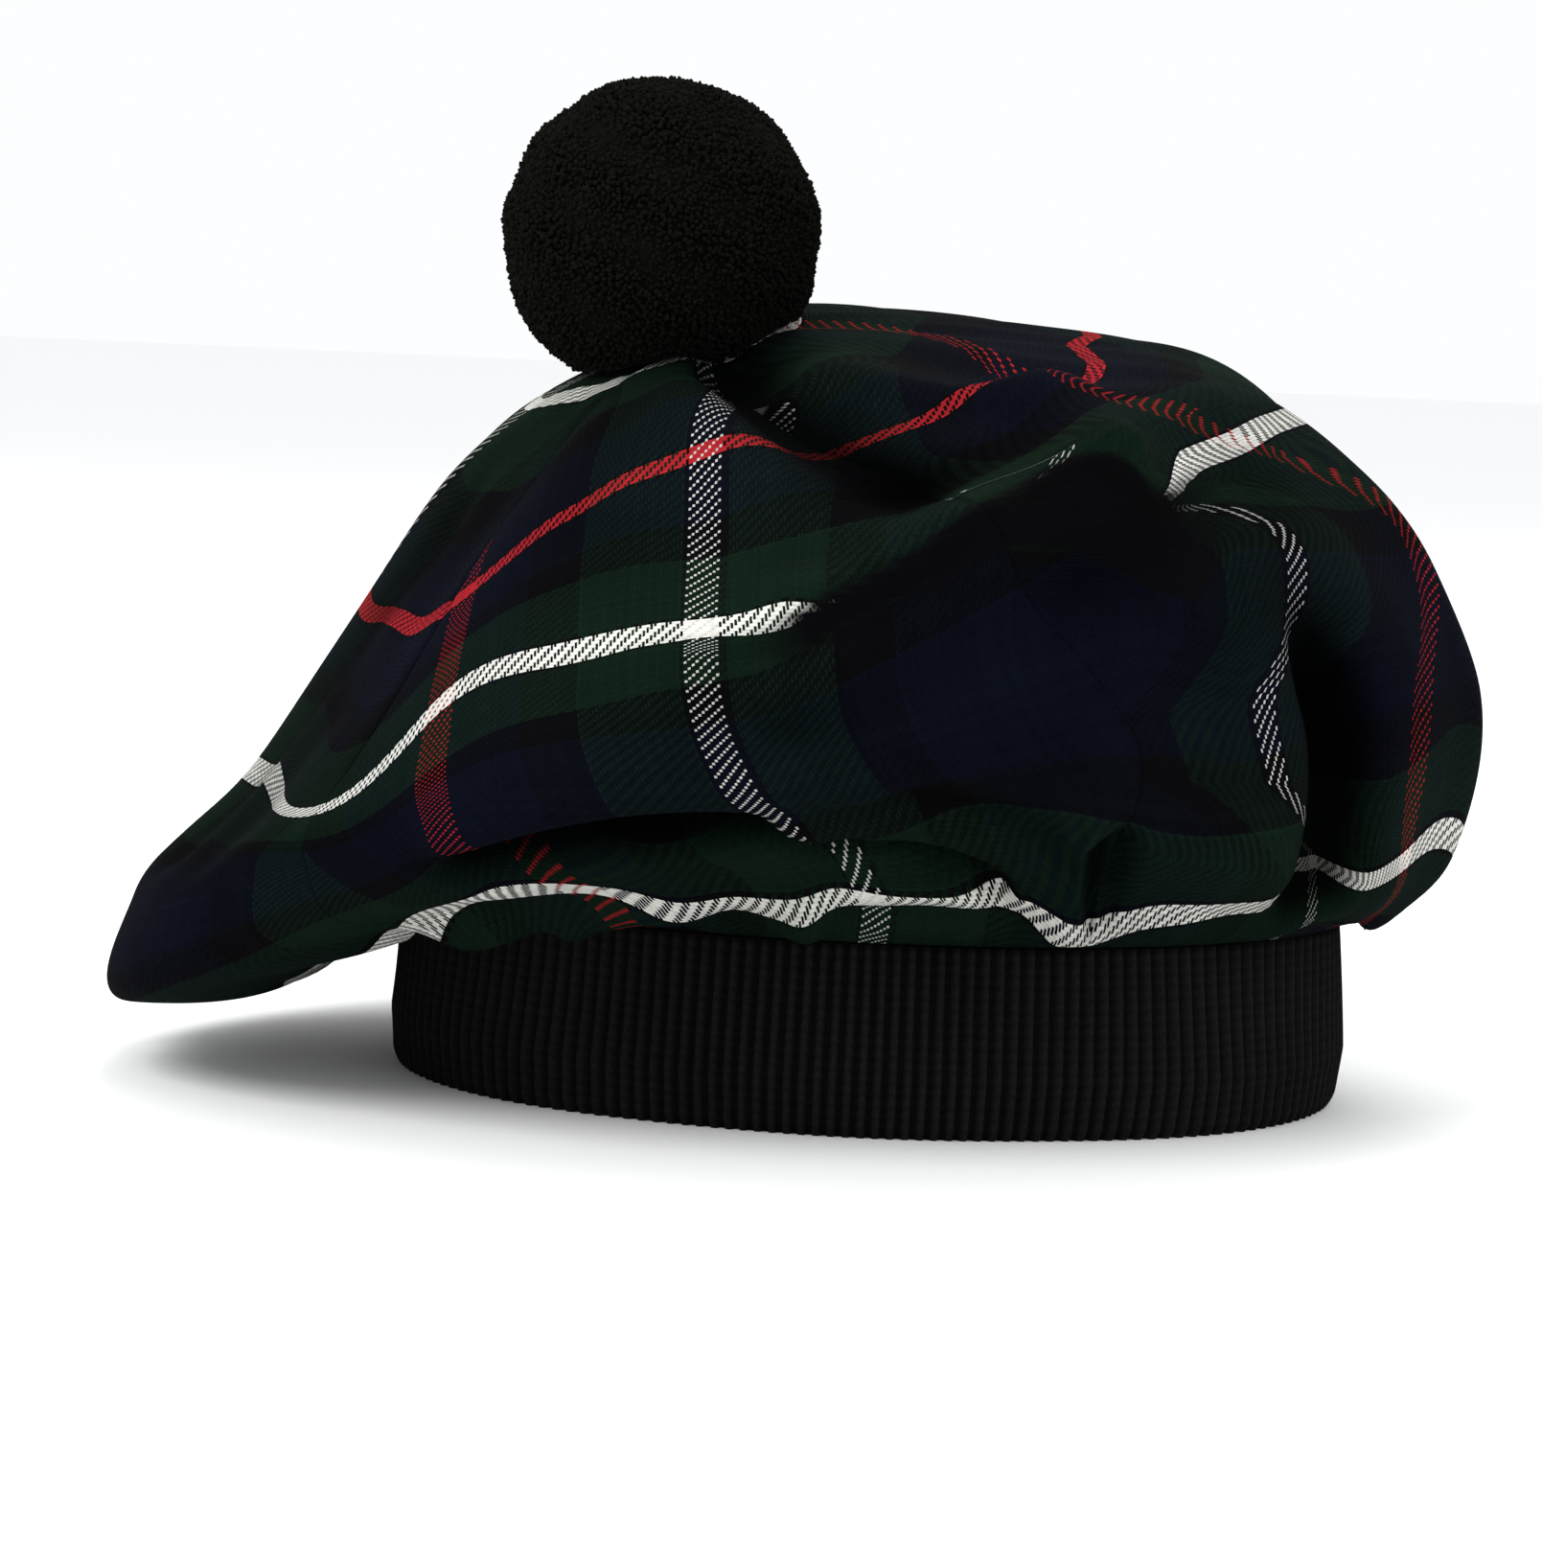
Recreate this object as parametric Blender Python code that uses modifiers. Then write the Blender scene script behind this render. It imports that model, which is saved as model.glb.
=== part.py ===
"""Soft round bonnet: four wool gores gathered into a rib knit headband, with a wool pompom on top."""

import math
from typing import NamedTuple

import bmesh
import bpy
import numpy as np
from mathutils import Vector
from mathutils.bvhtree import BVHTree

# Driving sizes in metres
BAND_LENGTH = 0.198
BAND_WIDTH = 0.158
BAND_HEIGHT = 0.038
KNIT_WALL = 0.0036
RIB_COUNT = 168
RIB_DEPTH = 0.0008
BAND_ROLL = 0.0016
CLOTH_WALL = 0.0020
CLOTH_RUN = 0.218
CROWN_REACH = 0.150
CROWN_HEIGHT = 0.160
APEX_UP = 0.152
CAP_REACH = 0.026
APEX_X = -0.041
APEX_Y = -0.010
POMPOM_DIAMETER = 0.066
POMPOM_TUFT = 0.0016
POMPOM_SHIFT = -0.0076
POMPOM_LIFT = 0.0200

# Named fits
SEAM_GAP = 0.0006
BAND_GAP = 0.0003
POMPOM_GAP = 0.0005
APEX_HOLE = 0.0060

# Mesh density, and how far from a seam the first column of a gore lies
SEAM_MARGIN = 0.0012
PANEL_COLUMNS = 14
PANEL_ROWS = 22


class Section(NamedTuple):
    """Outline of the crown at one azimuth: reach as shares of CROWN_REACH, rise as shares of CROWN_HEIGHT."""

    azimuth: float
    cap_up: float
    inner_out: float
    inner_up: float
    shoulder_out: float
    shoulder_up: float
    brim_out: float
    brim_up: float
    tuck_out: float
    tuck_up: float
    under_out: float
    under_up: float


SECTIONS = [
    Section(0.0, 0.970, 0.420, 0.963, 0.650, 0.890, 0.802, 0.550, 0.775, 0.325, 0.700, 0.245),
    Section(22.5, 0.985, 0.468, 0.978, 0.690, 0.895, 0.808, 0.570, 0.768, 0.340, 0.695, 0.250),
    Section(45.0, 0.990, 0.525, 0.984, 0.725, 0.878, 0.796, 0.600, 0.753, 0.363, 0.667, 0.269),
    Section(67.5, 0.988, 0.430, 0.988, 0.650, 0.875, 0.787, 0.613, 0.733, 0.375, 0.613, 0.288),
    Section(90.0, 0.970, 0.373, 0.965, 0.640, 0.794, 0.773, 0.594, 0.733, 0.375, 0.587, 0.294),
    Section(112.5, 0.935, 0.395, 0.895, 0.655, 0.700, 0.787, 0.531, 0.773, 0.313, 0.613, 0.275),
    Section(135.0, 0.910, 0.433, 0.775, 0.720, 0.500, 0.840, 0.375, 0.840, 0.213, 0.660, 0.231),
    Section(157.5, 0.895, 0.367, 0.775, 0.720, 0.425, 0.907, 0.275, 0.920, 0.125, 0.720, 0.163),
    Section(180.0, 0.881, 0.345, 0.768, 0.712, 0.395, 0.985, 0.213, 1.000, 0.072, 0.747, 0.130),
    Section(202.5, 0.880, 0.385, 0.712, 0.760, 0.394, 1.027, 0.244, 1.014, 0.118, 0.747, 0.172),
    Section(225.0, 0.880, 0.433, 0.675, 0.832, 0.413, 1.000, 0.330, 0.900, 0.255, 0.687, 0.260),
    Section(247.5, 0.905, 0.413, 0.820, 0.747, 0.619, 0.907, 0.440, 0.787, 0.338, 0.613, 0.288),
    Section(270.0, 0.935, 0.405, 0.880, 0.705, 0.690, 0.827, 0.475, 0.707, 0.395, 0.587, 0.312),
    Section(292.5, 0.930, 0.433, 0.885, 0.725, 0.795, 0.800, 0.535, 0.707, 0.400, 0.587, 0.306),
    Section(315.0, 0.950, 0.480, 0.900, 0.675, 0.868, 0.785, 0.568, 0.735, 0.356, 0.633, 0.281),
    Section(337.5, 0.965, 0.443, 0.948, 0.662, 0.878, 0.793, 0.563, 0.755, 0.330, 0.680, 0.256),
]


class Fold(NamedTuple):
    """Ridge or valley between two places on the cloth: azimuths, runs as shares of CLOTH_RUN, sizes in metres."""

    name: str
    azimuth_from: float
    run_from: float
    azimuth_to: float
    run_to: float
    breadth: float
    height: float


FOLDS = [
    Fold("front_ridge_low", 256.0, 0.585, 270.0, 0.550, 0.010, 0.0045),
    Fold("front_ridge_mid", 270.0, 0.550, 287.0, 0.530, 0.009, 0.0060),
    Fold("front_ridge_high", 287.0, 0.530, 301.0, 0.510, 0.009, 0.0060),
    Fold("right_soft_ridge", 303.0, 0.520, 350.0, 0.570, 0.012, 0.0030),
    Fold("seam_valley", 289.0, 0.100, 285.0, 0.420, 0.010, -0.0080),
    Fold("hump_crest", 304.0, 0.200, 310.0, 0.380, 0.010, 0.0040),
    Fold("hump_crest_end", 310.0, 0.380, 303.0, 0.490, 0.009, 0.0030),
    Fold("right_valley", 318.0, 0.680, 325.0, 0.880, 0.011, -0.0095),
    Fold("right_bulge", 350.0, 0.620, 352.0, 0.800, 0.014, 0.0030),
    Fold("front_overhang", 238.0, 0.690, 268.0, 0.720, 0.009, 0.0035),
    Fold("front_recess", 242.0, 0.780, 288.0, 0.860, 0.008, -0.0035),
    Fold("front_tuck", 297.0, 0.840, 301.0, 0.940, 0.006, -0.0040),
    Fold("left_crease_high", 205.0, 0.280, 200.0, 0.600, 0.012, -0.0035),
    Fold("left_crease_low", 216.0, 0.420, 210.0, 0.640, 0.012, -0.0030),
    Fold("back_crease", 70.0, 0.500, 60.0, 0.820, 0.014, -0.0050),
    Fold("back_crease_far", 115.0, 0.500, 120.0, 0.820, 0.014, -0.0050),
]

# Runs of the named rings of a section, as shares of CLOTH_RUN, and how far each stays centred on the apex
RING_RUNS = [0.0, 0.12, 0.27, 0.50, 0.69, 0.82, 0.93, 0.975, 1.0]
RING_CENTRES = [1.0, 1.0, 0.90, 0.45, 0.0, 0.0, 0.0, 0.0, 0.0]


class Seam(NamedTuple):
    """Azimuths of a seam at the runs of SEAM_RUNS, from the crown's point down to the band."""

    point: float
    shoulder: float
    side: float
    brim: float
    band: float


# Runs where a seam's azimuths are given, as shares of CLOTH_RUN
SEAM_RUNS = [0.0, 0.35, 0.53, 0.75, 1.0]
SEAMS = {
    "back_right": Seam(48.0, 48.0, 48.0, 48.0, 48.0),
    "back_left": Seam(135.0, 135.0, 135.0, 135.0, 135.0),
    "front_left": Seam(234.0, 233.0, 228.0, 224.0, 223.0),
    "front_right": Seam(289.0, 288.0, 287.0, 295.0, 300.0),
}

# The two seams of each gore, in order round the crown
PANELS = {
    "crown_panel_back": ("back_right", "back_left"),
    "crown_panel_left": ("back_left", "front_left"),
    "crown_panel_front": ("front_left", "front_right"),
    "crown_panel_right": ("front_right", "back_right"),
}

COLOURS = {
    "crown_panel": (0.020, 0.060, 0.050, 1.0),
    "band": (0.012, 0.011, 0.012, 1.0),
    "toorie": (0.014, 0.014, 0.013, 1.0),
}


def catmull(knots: np.ndarray, values: np.ndarray, at: float) -> np.ndarray:
    """Smooth curve through values at uneven knots."""
    slopes = np.gradient(values, knots, axis=0)
    k = int(np.clip(np.searchsorted(knots, at) - 1, 0, len(knots) - 2))
    step = knots[k + 1] - knots[k]
    t = (at - knots[k]) / step
    a = 2 * t**3 - 3 * t**2 + 1
    b = t**3 - 2 * t**2 + t
    c = -2 * t**3 + 3 * t**2
    d = t**3 - t**2
    return a * values[k] + b * step * slopes[k] + c * values[k + 1] + d * step * slopes[k + 1]


def section_at(azimuth: float) -> np.ndarray:
    """Columns of the section table at any azimuth, smooth all the way round."""
    rows = np.array([tuple(s)[1:] for s in SECTIONS])
    turn = azimuth % 360.0
    angles = np.array([s.azimuth for s in SECTIONS])
    knots = np.concatenate([angles[-3:] - 360.0, angles, angles[:3] + 360.0])
    values = np.concatenate([rows[-3:], rows, rows[:3]])
    return catmull(knots, values, turn)


def band_reach(azimuth: float, length: float, width: float) -> float:
    """Distance from the head's axis to an ellipse of the given length and width."""
    a = math.radians(azimuth)
    return 1.0 / math.sqrt((math.cos(a) / (length / 2)) ** 2 + (math.sin(a) / (width / 2)) ** 2)


def rings_at(azimuth: float) -> np.ndarray:
    """Reach and rise of every named ring at one azimuth, from the apex to the band."""
    s = section_at(azimuth)
    edge = band_reach(azimuth, BAND_LENGTH, BAND_WIDTH)
    seat = BAND_HEIGHT + BAND_GAP
    rings = [(0.0, APEX_UP)]
    rings.append((CAP_REACH, s[0] * CROWN_HEIGHT))
    for k in range(5):
        rings.append((s[2 * k + 1] * CROWN_REACH, s[2 * k + 2] * CROWN_HEIGHT))
    rings.append((edge + CLOTH_WALL * 1.6, seat + CLOTH_WALL * 1.2))
    rings.append((edge - KNIT_WALL * 0.4, seat))
    return np.array(rings)


def profile_at(azimuth: float, run: float) -> np.ndarray:
    """Reach and rise of the cloth at one azimuth and run."""
    return catmull(np.array(RING_RUNS), rings_at(azimuth), run)


def smooth_point(azimuth: float, run: float) -> np.ndarray:
    """Place on the crown's outer face before folds are laid on it."""
    out, up = profile_at(azimuth, run)
    share = catmull(np.array(RING_RUNS), np.array(RING_CENTRES), run)
    a = math.radians(azimuth)
    return np.array([APEX_X * share + out * math.cos(a), APEX_Y * share + out * math.sin(a), up])


def fold_height(azimuth: float, run: float) -> float:
    """Height of all the folds over the smooth face, from distances on the cloth laid flat."""
    a = math.radians(azimuth)
    here = CLOTH_RUN * run * np.array([math.cos(a), math.sin(a)])
    total = 0.0
    for f in FOLDS:
        a0 = math.radians(f.azimuth_from)
        a1 = math.radians(f.azimuth_to)
        start = CLOTH_RUN * f.run_from * np.array([math.cos(a0), math.sin(a0)])
        end = CLOTH_RUN * f.run_to * np.array([math.cos(a1), math.sin(a1)])
        along = end - start
        length = max(float(np.linalg.norm(along)), 1e-6)
        t = float(np.dot(here - start, along)) / length**2
        off = float(np.linalg.norm(here - start - along * np.clip(t, 0.0, 1.0)))
        total += f.height * math.exp(-((off / f.breadth) ** 2))
    ease = np.clip((1.0 - run) / 0.10, 0.0, 1.0) * np.clip(run / 0.12, 0.0, 1.0)
    return float(total * ease)


def normal_at(azimuth: float, run: float) -> np.ndarray:
    """Outward direction of the smooth face."""
    da = 0.4
    dr = 0.004
    low = max(run - dr, 0.001)
    high = min(run + dr, 1.0)
    across = smooth_point(azimuth + da, run) - smooth_point(azimuth - da, run)
    down = smooth_point(azimuth, high) - smooth_point(azimuth, low)
    n = np.cross(down, across)
    return n / max(float(np.linalg.norm(n)), 1e-12)


def outer_point(azimuth: float, run: float) -> np.ndarray:
    """Place on the crown's outer face with its folds."""
    return smooth_point(azimuth, run) + normal_at(azimuth, run) * fold_height(azimuth, run)


def seam_azimuth(name: str, run: float) -> float:
    """Azimuth of a seam at a run."""
    return float(catmull(np.array(SEAM_RUNS), np.array(SEAMS[name]), run))


def seam_point(name: str, turn: float, run: float, side: float) -> np.ndarray:
    """Place on the outer face half a seam gap to one side of a seam, which may lie a full turn on."""
    low = max(run - 0.004, 0.001)
    high = min(run + 0.004, 1.0)
    azimuth = seam_azimuth(name, run) + turn
    down = outer_point(seam_azimuth(name, high) + turn, high) - outer_point(seam_azimuth(name, low) + turn, low)
    across = np.cross(normal_at(azimuth, run), down)
    return outer_point(azimuth, run) + across / float(np.linalg.norm(across)) * side * SEAM_GAP / 2


def collection_for(name: str) -> bpy.types.Collection:
    """A fresh collection in the scene."""
    made = bpy.data.collections.new(name)
    bpy.context.scene.collection.children.link(made)
    return made


def material_for(name: str, colour: tuple) -> bpy.types.Material:
    """Plain cloth finish."""
    made = bpy.data.materials.new(name)
    made.use_nodes = True
    shader = made.node_tree.nodes["Principled BSDF"]
    shader.inputs["Base Color"].default_value = colour
    shader.inputs["Roughness"].default_value = 0.9
    return made


def add_object(name: str, bm: bmesh.types.BMesh, colour: tuple, home: bpy.types.Collection) -> bpy.types.Object:
    """Turns a mesh into a named object with its own finish."""
    mesh = bpy.data.meshes.new(name)
    bm.to_mesh(mesh)
    bm.free()
    made = bpy.data.objects.new(name, mesh)
    made.data.materials.append(material_for(name + "_cloth", colour))
    home.objects.link(made)
    mesh.shade_smooth()
    return made


def loft(grid: list, closed: bool = False) -> bmesh.types.BMesh:
    """Open surface through rows of points, or a ring of rows where closed."""
    bm = bmesh.new()
    rows = [[bm.verts.new(tuple(p)) for p in row] for row in grid]
    last = len(rows) if closed else len(rows) - 1
    columns = len(rows[0]) if closed else len(rows[0]) - 1
    for i in range(last):
        below = rows[(i + 1) % len(rows)]
        for j in range(columns):
            n = (j + 1) % len(rows[i])
            bm.faces.new([rows[i][j], below[j], below[n], rows[i][n]])
    return bm


def run_rows() -> list:
    """Runs of the panel's rows, closer together where the cloth turns under."""
    first = APEX_HOLE / CLOTH_RUN
    shares = np.linspace(0.0, 1.0, PANEL_ROWS + 1)
    eased = shares + 0.05 * np.sin(2 * np.pi * shares)
    return [first + (1.0 - first) * float(s) for s in eased]


def build_panel(name: str, home: bpy.types.Collection) -> bpy.types.Object:
    """One gore between two seams, kept half a seam gap away from each."""
    left, right = PANELS[name]
    turn = 0.0 if SEAMS[right].band > SEAMS[left].band else 360.0
    grid = []
    for run in run_rows():
        start = seam_azimuth(left, run)
        end = seam_azimuth(right, run) + turn
        first = start + math.degrees(SEAM_MARGIN / profile_at(start, run)[0])
        final = end - math.degrees(SEAM_MARGIN / profile_at(end, run)[0])
        row = [seam_point(left, 0.0, run, 1.0)]
        row += [outer_point(float(a), run) for a in np.linspace(first, final, PANEL_COLUMNS - 1)]
        row.append(seam_point(right, turn, run, -1.0))
        grid.append(row)
    panel = add_object(name, loft(grid), COLOURS["crown_panel"], home)
    wall = panel.modifiers.new("wall", "SOLIDIFY")
    wall.thickness = CLOTH_WALL
    wall.offset = -1.0
    wall.use_rim = True
    split = panel.modifiers.new("split", "TRIANGULATE")
    split.quad_method = "SHORTEST_DIAGONAL"
    return panel


def ribbed_ring(up: float, swell: float, depth: float) -> list:
    """One level of the band: every other place stands out by the depth of a rib."""
    ring = []
    for k in range(RIB_COUNT * 2):
        azimuth = 180.0 * k / RIB_COUNT
        reach = band_reach(azimuth, BAND_LENGTH, BAND_WIDTH) - RIB_DEPTH - BAND_ROLL + swell
        reach += depth * ((k + 1) % 2)
        a = math.radians(azimuth)
        ring.append((reach * math.cos(a), reach * math.sin(a), up))
    return ring


def build_band(home: bpy.types.Collection) -> bpy.types.Object:
    """Rib knit tube with a flat bottom and a slightly rolled lower edge."""
    rows = [(0.0, 0.0), (BAND_HEIGHT * 0.10, BAND_ROLL), (BAND_HEIGHT * 0.55, BAND_ROLL * 0.4), (BAND_HEIGHT, 0.0)]
    outer = [ribbed_ring(up, swell, RIB_DEPTH) for up, swell in rows]
    inner = [ribbed_ring(up, -KNIT_WALL, 0.0) for up in (BAND_HEIGHT, 0.0)]
    bm = loft((outer + inner)[::-1], closed=True)
    return add_object("band", bm, COLOURS["band"], home)


def crown_seat(panels: list) -> BVHTree:
    """The gores' own faces, to rest the pompom on."""
    verts = []
    faces = []
    for panel in panels:
        first = len(verts)
        verts += [v.co.copy() for v in panel.data.vertices]
        faces += [tuple(first + k for k in polygon.vertices) for polygon in panel.data.polygons]
    return BVHTree.FromPolygons(verts, faces)


def seat_height(seat: BVHTree, place: Vector) -> float:
    """Highest cloth close round a place seen from above, or far below where there is none."""
    highest = -1.0
    for k in range(9):
        reach = 0.0 if k == 8 else POMPOM_DIAMETER * 0.065
        a = math.radians(45.0 * k)
        above = APEX_UP + POMPOM_DIAMETER
        start = Vector((place.x + reach * math.cos(a), place.y + reach * math.sin(a), above))
        hit = seat.ray_cast(start, Vector((0.0, 0.0, -1.0)))
        if hit[0] is not None:
            highest = max(highest, hit[0].z)
    return highest


def build_toorie(home: bpy.types.Collection, panels: list) -> bpy.types.Object:
    """Pompom of short tufts fused to one ball, flattened where it rests on the crown."""
    bm = bmesh.new()
    bmesh.ops.create_icosphere(bm, subdivisions=3, radius=POMPOM_DIAMETER / 2 - POMPOM_TUFT)
    bmesh.ops.poke(bm, faces=bm.faces[:], offset=POMPOM_TUFT)
    seat = crown_seat(panels)
    apex = outer_point(0.0, 0.002)
    peak = max(outer_point(15.0 * k, APEX_HOLE / CLOTH_RUN)[2] for k in range(24))
    centre = Vector((apex[0] + POMPOM_SHIFT, apex[1], apex[2] + POMPOM_LIFT))
    for v in bm.verts:
        place = v.co + centre
        under = seat_height(seat, place)
        if math.hypot(place.x - apex[0], place.y - apex[1]) < APEX_HOLE * 1.4:
            under = max(under, peak)
        place.z = max(place.z, under + POMPOM_GAP)
        v.co = place
    return add_object("toorie", bm, COLOURS["toorie"], home)


def recentre(parts: list) -> None:
    """Moves every piece so that the whole hat stands centred on the floor."""
    corners = np.array([tuple(v.co) for p in parts for v in p.data.vertices])
    low = corners.min(axis=0)
    high = corners.max(axis=0)
    shift = Vector((-(low[0] + high[0]) / 2, -(low[1] + high[1]) / 2, -low[2]))
    for p in parts:
        p.location = shift


def main() -> None:
    """Builds the whole hat."""
    for old in list(bpy.data.objects):
        bpy.data.objects.remove(old, do_unlink=True)
    home = collection_for("tam_o_shanter")
    panels = [build_panel(name, home) for name in PANELS]
    parts = panels + [build_band(home), build_toorie(home, panels)]
    recentre(parts)


main()
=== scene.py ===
"""Looks of a soft tartan bonnet: sewn wool gores, a rib knit headband and a wool pompom.

The crown is made from the same named sizes and tables as its solids, at a finer grain, and every point of
its cloth carries its place on the flat cut, so that the tartan and its twill follow the folds.
"""

from __future__ import annotations

import logging
import math
from dataclasses import dataclass, field
from enum import Enum
from typing import NamedTuple

import bmesh
import bpy
import numpy as np
from mathutils import Matrix, Vector


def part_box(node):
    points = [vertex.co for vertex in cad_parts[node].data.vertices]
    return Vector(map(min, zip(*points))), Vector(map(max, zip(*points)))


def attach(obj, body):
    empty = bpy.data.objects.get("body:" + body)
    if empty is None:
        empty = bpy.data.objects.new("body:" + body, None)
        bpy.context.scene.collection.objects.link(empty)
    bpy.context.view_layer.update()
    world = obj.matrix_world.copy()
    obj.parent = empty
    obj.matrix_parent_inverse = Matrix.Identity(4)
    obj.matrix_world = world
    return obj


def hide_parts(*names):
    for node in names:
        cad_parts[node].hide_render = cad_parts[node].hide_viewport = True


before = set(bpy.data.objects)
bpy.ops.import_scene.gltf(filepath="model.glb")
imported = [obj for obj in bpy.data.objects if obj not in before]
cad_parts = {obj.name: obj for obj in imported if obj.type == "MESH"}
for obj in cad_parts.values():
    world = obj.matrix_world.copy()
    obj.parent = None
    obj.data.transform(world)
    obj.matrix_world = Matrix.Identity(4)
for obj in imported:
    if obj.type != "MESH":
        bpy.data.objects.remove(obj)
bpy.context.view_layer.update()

log = logging.getLogger("bonnet")

MM = 0.001

Array = np.ndarray
Socket = bpy.types.NodeSocket
Material = bpy.types.Material
Object = bpy.types.Object


class Panel(Enum):
    """The four gores of the crown, named as their nodes are."""

    BACK = "crown_panel_back"
    LEFT = "crown_panel_left"
    FRONT = "crown_panel_front"
    RIGHT = "crown_panel_right"


class Section(NamedTuple):
    """Outline of the crown at one azimuth.

    Reach is in shares of the crown's reach, and rise in shares of its height.
    """

    azimuth: float
    cap_up: float
    inner_out: float
    inner_up: float
    shoulder_out: float
    shoulder_up: float
    brim_out: float
    brim_up: float
    tuck_out: float
    tuck_up: float
    under_out: float
    under_up: float


SECTIONS = [
    Section(0, 0.97, 0.42, 0.963, 0.65, 0.89, 0.802, 0.55, 0.775, 0.325, 0.7, 0.245),
    Section(22.5, 0.985, 0.468, 0.978, 0.69, 0.895, 0.808, 0.57, 0.768, 0.34, 0.695, 0.25),
    Section(45, 0.99, 0.525, 0.984, 0.725, 0.878, 0.796, 0.6, 0.753, 0.363, 0.667, 0.269),
    Section(67.5, 0.988, 0.43, 0.988, 0.65, 0.875, 0.787, 0.613, 0.733, 0.375, 0.613, 0.288),
    Section(90, 0.97, 0.373, 0.965, 0.64, 0.794, 0.773, 0.594, 0.733, 0.375, 0.587, 0.294),
    Section(112.5, 0.935, 0.395, 0.895, 0.655, 0.7, 0.787, 0.531, 0.773, 0.313, 0.613, 0.275),
    Section(135, 0.91, 0.433, 0.775, 0.72, 0.5, 0.84, 0.375, 0.84, 0.213, 0.66, 0.231),
    Section(157.5, 0.895, 0.367, 0.775, 0.72, 0.425, 0.907, 0.275, 0.92, 0.125, 0.72, 0.163),
    Section(180, 0.881, 0.345, 0.768, 0.712, 0.395, 0.985, 0.213, 1.000, 0.072, 0.747, 0.13),
    Section(202.5, 0.88, 0.385, 0.712, 0.76, 0.394, 1.027, 0.244, 1.014, 0.118, 0.747, 0.172),
    Section(225, 0.88, 0.433, 0.675, 0.832, 0.413, 1.000, 0.33, 0.9, 0.255, 0.687, 0.26),
    Section(247.5, 0.905, 0.413, 0.82, 0.747, 0.619, 0.907, 0.44, 0.787, 0.338, 0.613, 0.288),
    Section(270, 0.935, 0.405, 0.88, 0.705, 0.69, 0.827, 0.475, 0.707, 0.395, 0.587, 0.312),
    Section(292.5, 0.93, 0.433, 0.885, 0.725, 0.795, 0.8, 0.535, 0.707, 0.4, 0.587, 0.306),
    Section(315, 0.95, 0.48, 0.9, 0.675, 0.868, 0.785, 0.568, 0.735, 0.356, 0.633, 0.281),
    Section(337.5, 0.965, 0.443, 0.948, 0.662, 0.878, 0.793, 0.563, 0.755, 0.33, 0.68, 0.256),
]


class Fold(NamedTuple):
    """Ridge or valley between two places on the cloth.

    Azimuths are in degrees, runs are shares of the cloth's run, and breadth and height are in metres.
    """

    name: str
    azimuth_from: float
    run_from: float
    azimuth_to: float
    run_to: float
    breadth: float
    height: float


FOLDS = [
    Fold("front_ridge_low", 256, 0.585, 270, 0.55, 0.01, 0.0045),
    Fold("front_ridge_mid", 270, 0.55, 287, 0.53, 0.009, 0.006),
    Fold("front_ridge_high", 287, 0.53, 301, 0.51, 0.009, 0.006),
    Fold("right_soft_ridge", 303, 0.52, 350, 0.57, 0.012, 0.003),
    Fold("seam_valley", 289, 0.1, 285, 0.42, 0.01, -0.008),
    Fold("hump_crest", 304, 0.2, 310, 0.38, 0.01, 0.004),
    Fold("hump_crest_end", 310, 0.38, 303, 0.49, 0.009, 0.003),
    Fold("right_valley", 318, 0.68, 325, 0.88, 0.011, -0.0095),
    Fold("right_bulge", 350, 0.62, 352, 0.8, 0.014, 0.003),
    Fold("front_overhang", 238, 0.69, 268, 0.72, 0.009, 0.0035),
    Fold("front_recess", 242, 0.78, 288, 0.86, 0.008, -0.0035),
    Fold("front_tuck", 297, 0.84, 301, 0.94, 0.006, -0.004),
    Fold("left_crease_high", 205, 0.28, 200, 0.6, 0.012, -0.0035),
    Fold("left_crease_low", 216, 0.42, 210, 0.64, 0.012, -0.003),
    Fold("back_crease", 70, 0.5, 60, 0.82, 0.014, -0.005),
    Fold("back_crease_far", 115, 0.5, 120, 0.82, 0.014, -0.005),
]

# Small folds and soft puckers that only the finished cloth has
PUCKERS = [
    Fold("ridge_edge", 260, 0.572, 287, 0.533, 0.0045, 0.0018),
    Fold("ridge_edge_high", 287, 0.533, 303, 0.512, 0.0045, 0.0022),
    Fold("ridge_hollow", 264, 0.625, 300, 0.58, 0.0075, -0.003),
    Fold("behind_ridge", 300, 0.455, 284, 0.47, 0.006, -0.0018),
    Fold("valley_edge", 300, 0.22, 305, 0.4, 0.005, 0.0014),
    Fold("overhang_lip", 236, 0.71, 264, 0.76, 0.0055, 0.003),
    Fold("overhang_recess", 236, 0.775, 266, 0.835, 0.0065, -0.008),
    Fold("overhang_lip_low", 262, 0.78, 287, 0.875, 0.0065, 0.0055),
    Fold("overhang_recess_low", 267, 0.848, 286, 0.908, 0.0045, -0.007),
    Fold("left_hang", 223, 0.93, 233, 0.942, 0.0085, 0.0115),
    Fold("front_hang", 236, 0.94, 262, 0.95, 0.008, 0.007),
    Fold("front_hang_mid", 262, 0.95, 294, 0.95, 0.008, 0.007),
    Fold("tuck_line", 295, 0.86, 299, 0.96, 0.0032, -0.0045),
    Fold("tuck_lip", 293, 0.83, 297, 0.94, 0.0035, 0.0012),
    Fold("valley_core", 320, 0.68, 329, 0.87, 0.0065, -0.006),
    Fold("top_soft_crease", 262, 0.14, 250, 0.4, 0.006, -0.0012),
    Fold("left_tip_crease", 188, 0.62, 186, 0.8, 0.006, -0.0016),
    Fold("right_soft_rise", 330, 0.46, 352, 0.52, 0.007, 0.0012),
    Fold("right_side_crease", 20, 0.55, 14, 0.8, 0.007, -0.0016),
    Fold("back_soft_crease", 92, 0.3, 96, 0.7, 0.009, -0.0018),
    Fold("back_left_crease", 152, 0.4, 148, 0.78, 0.008, -0.0018),
]

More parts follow.
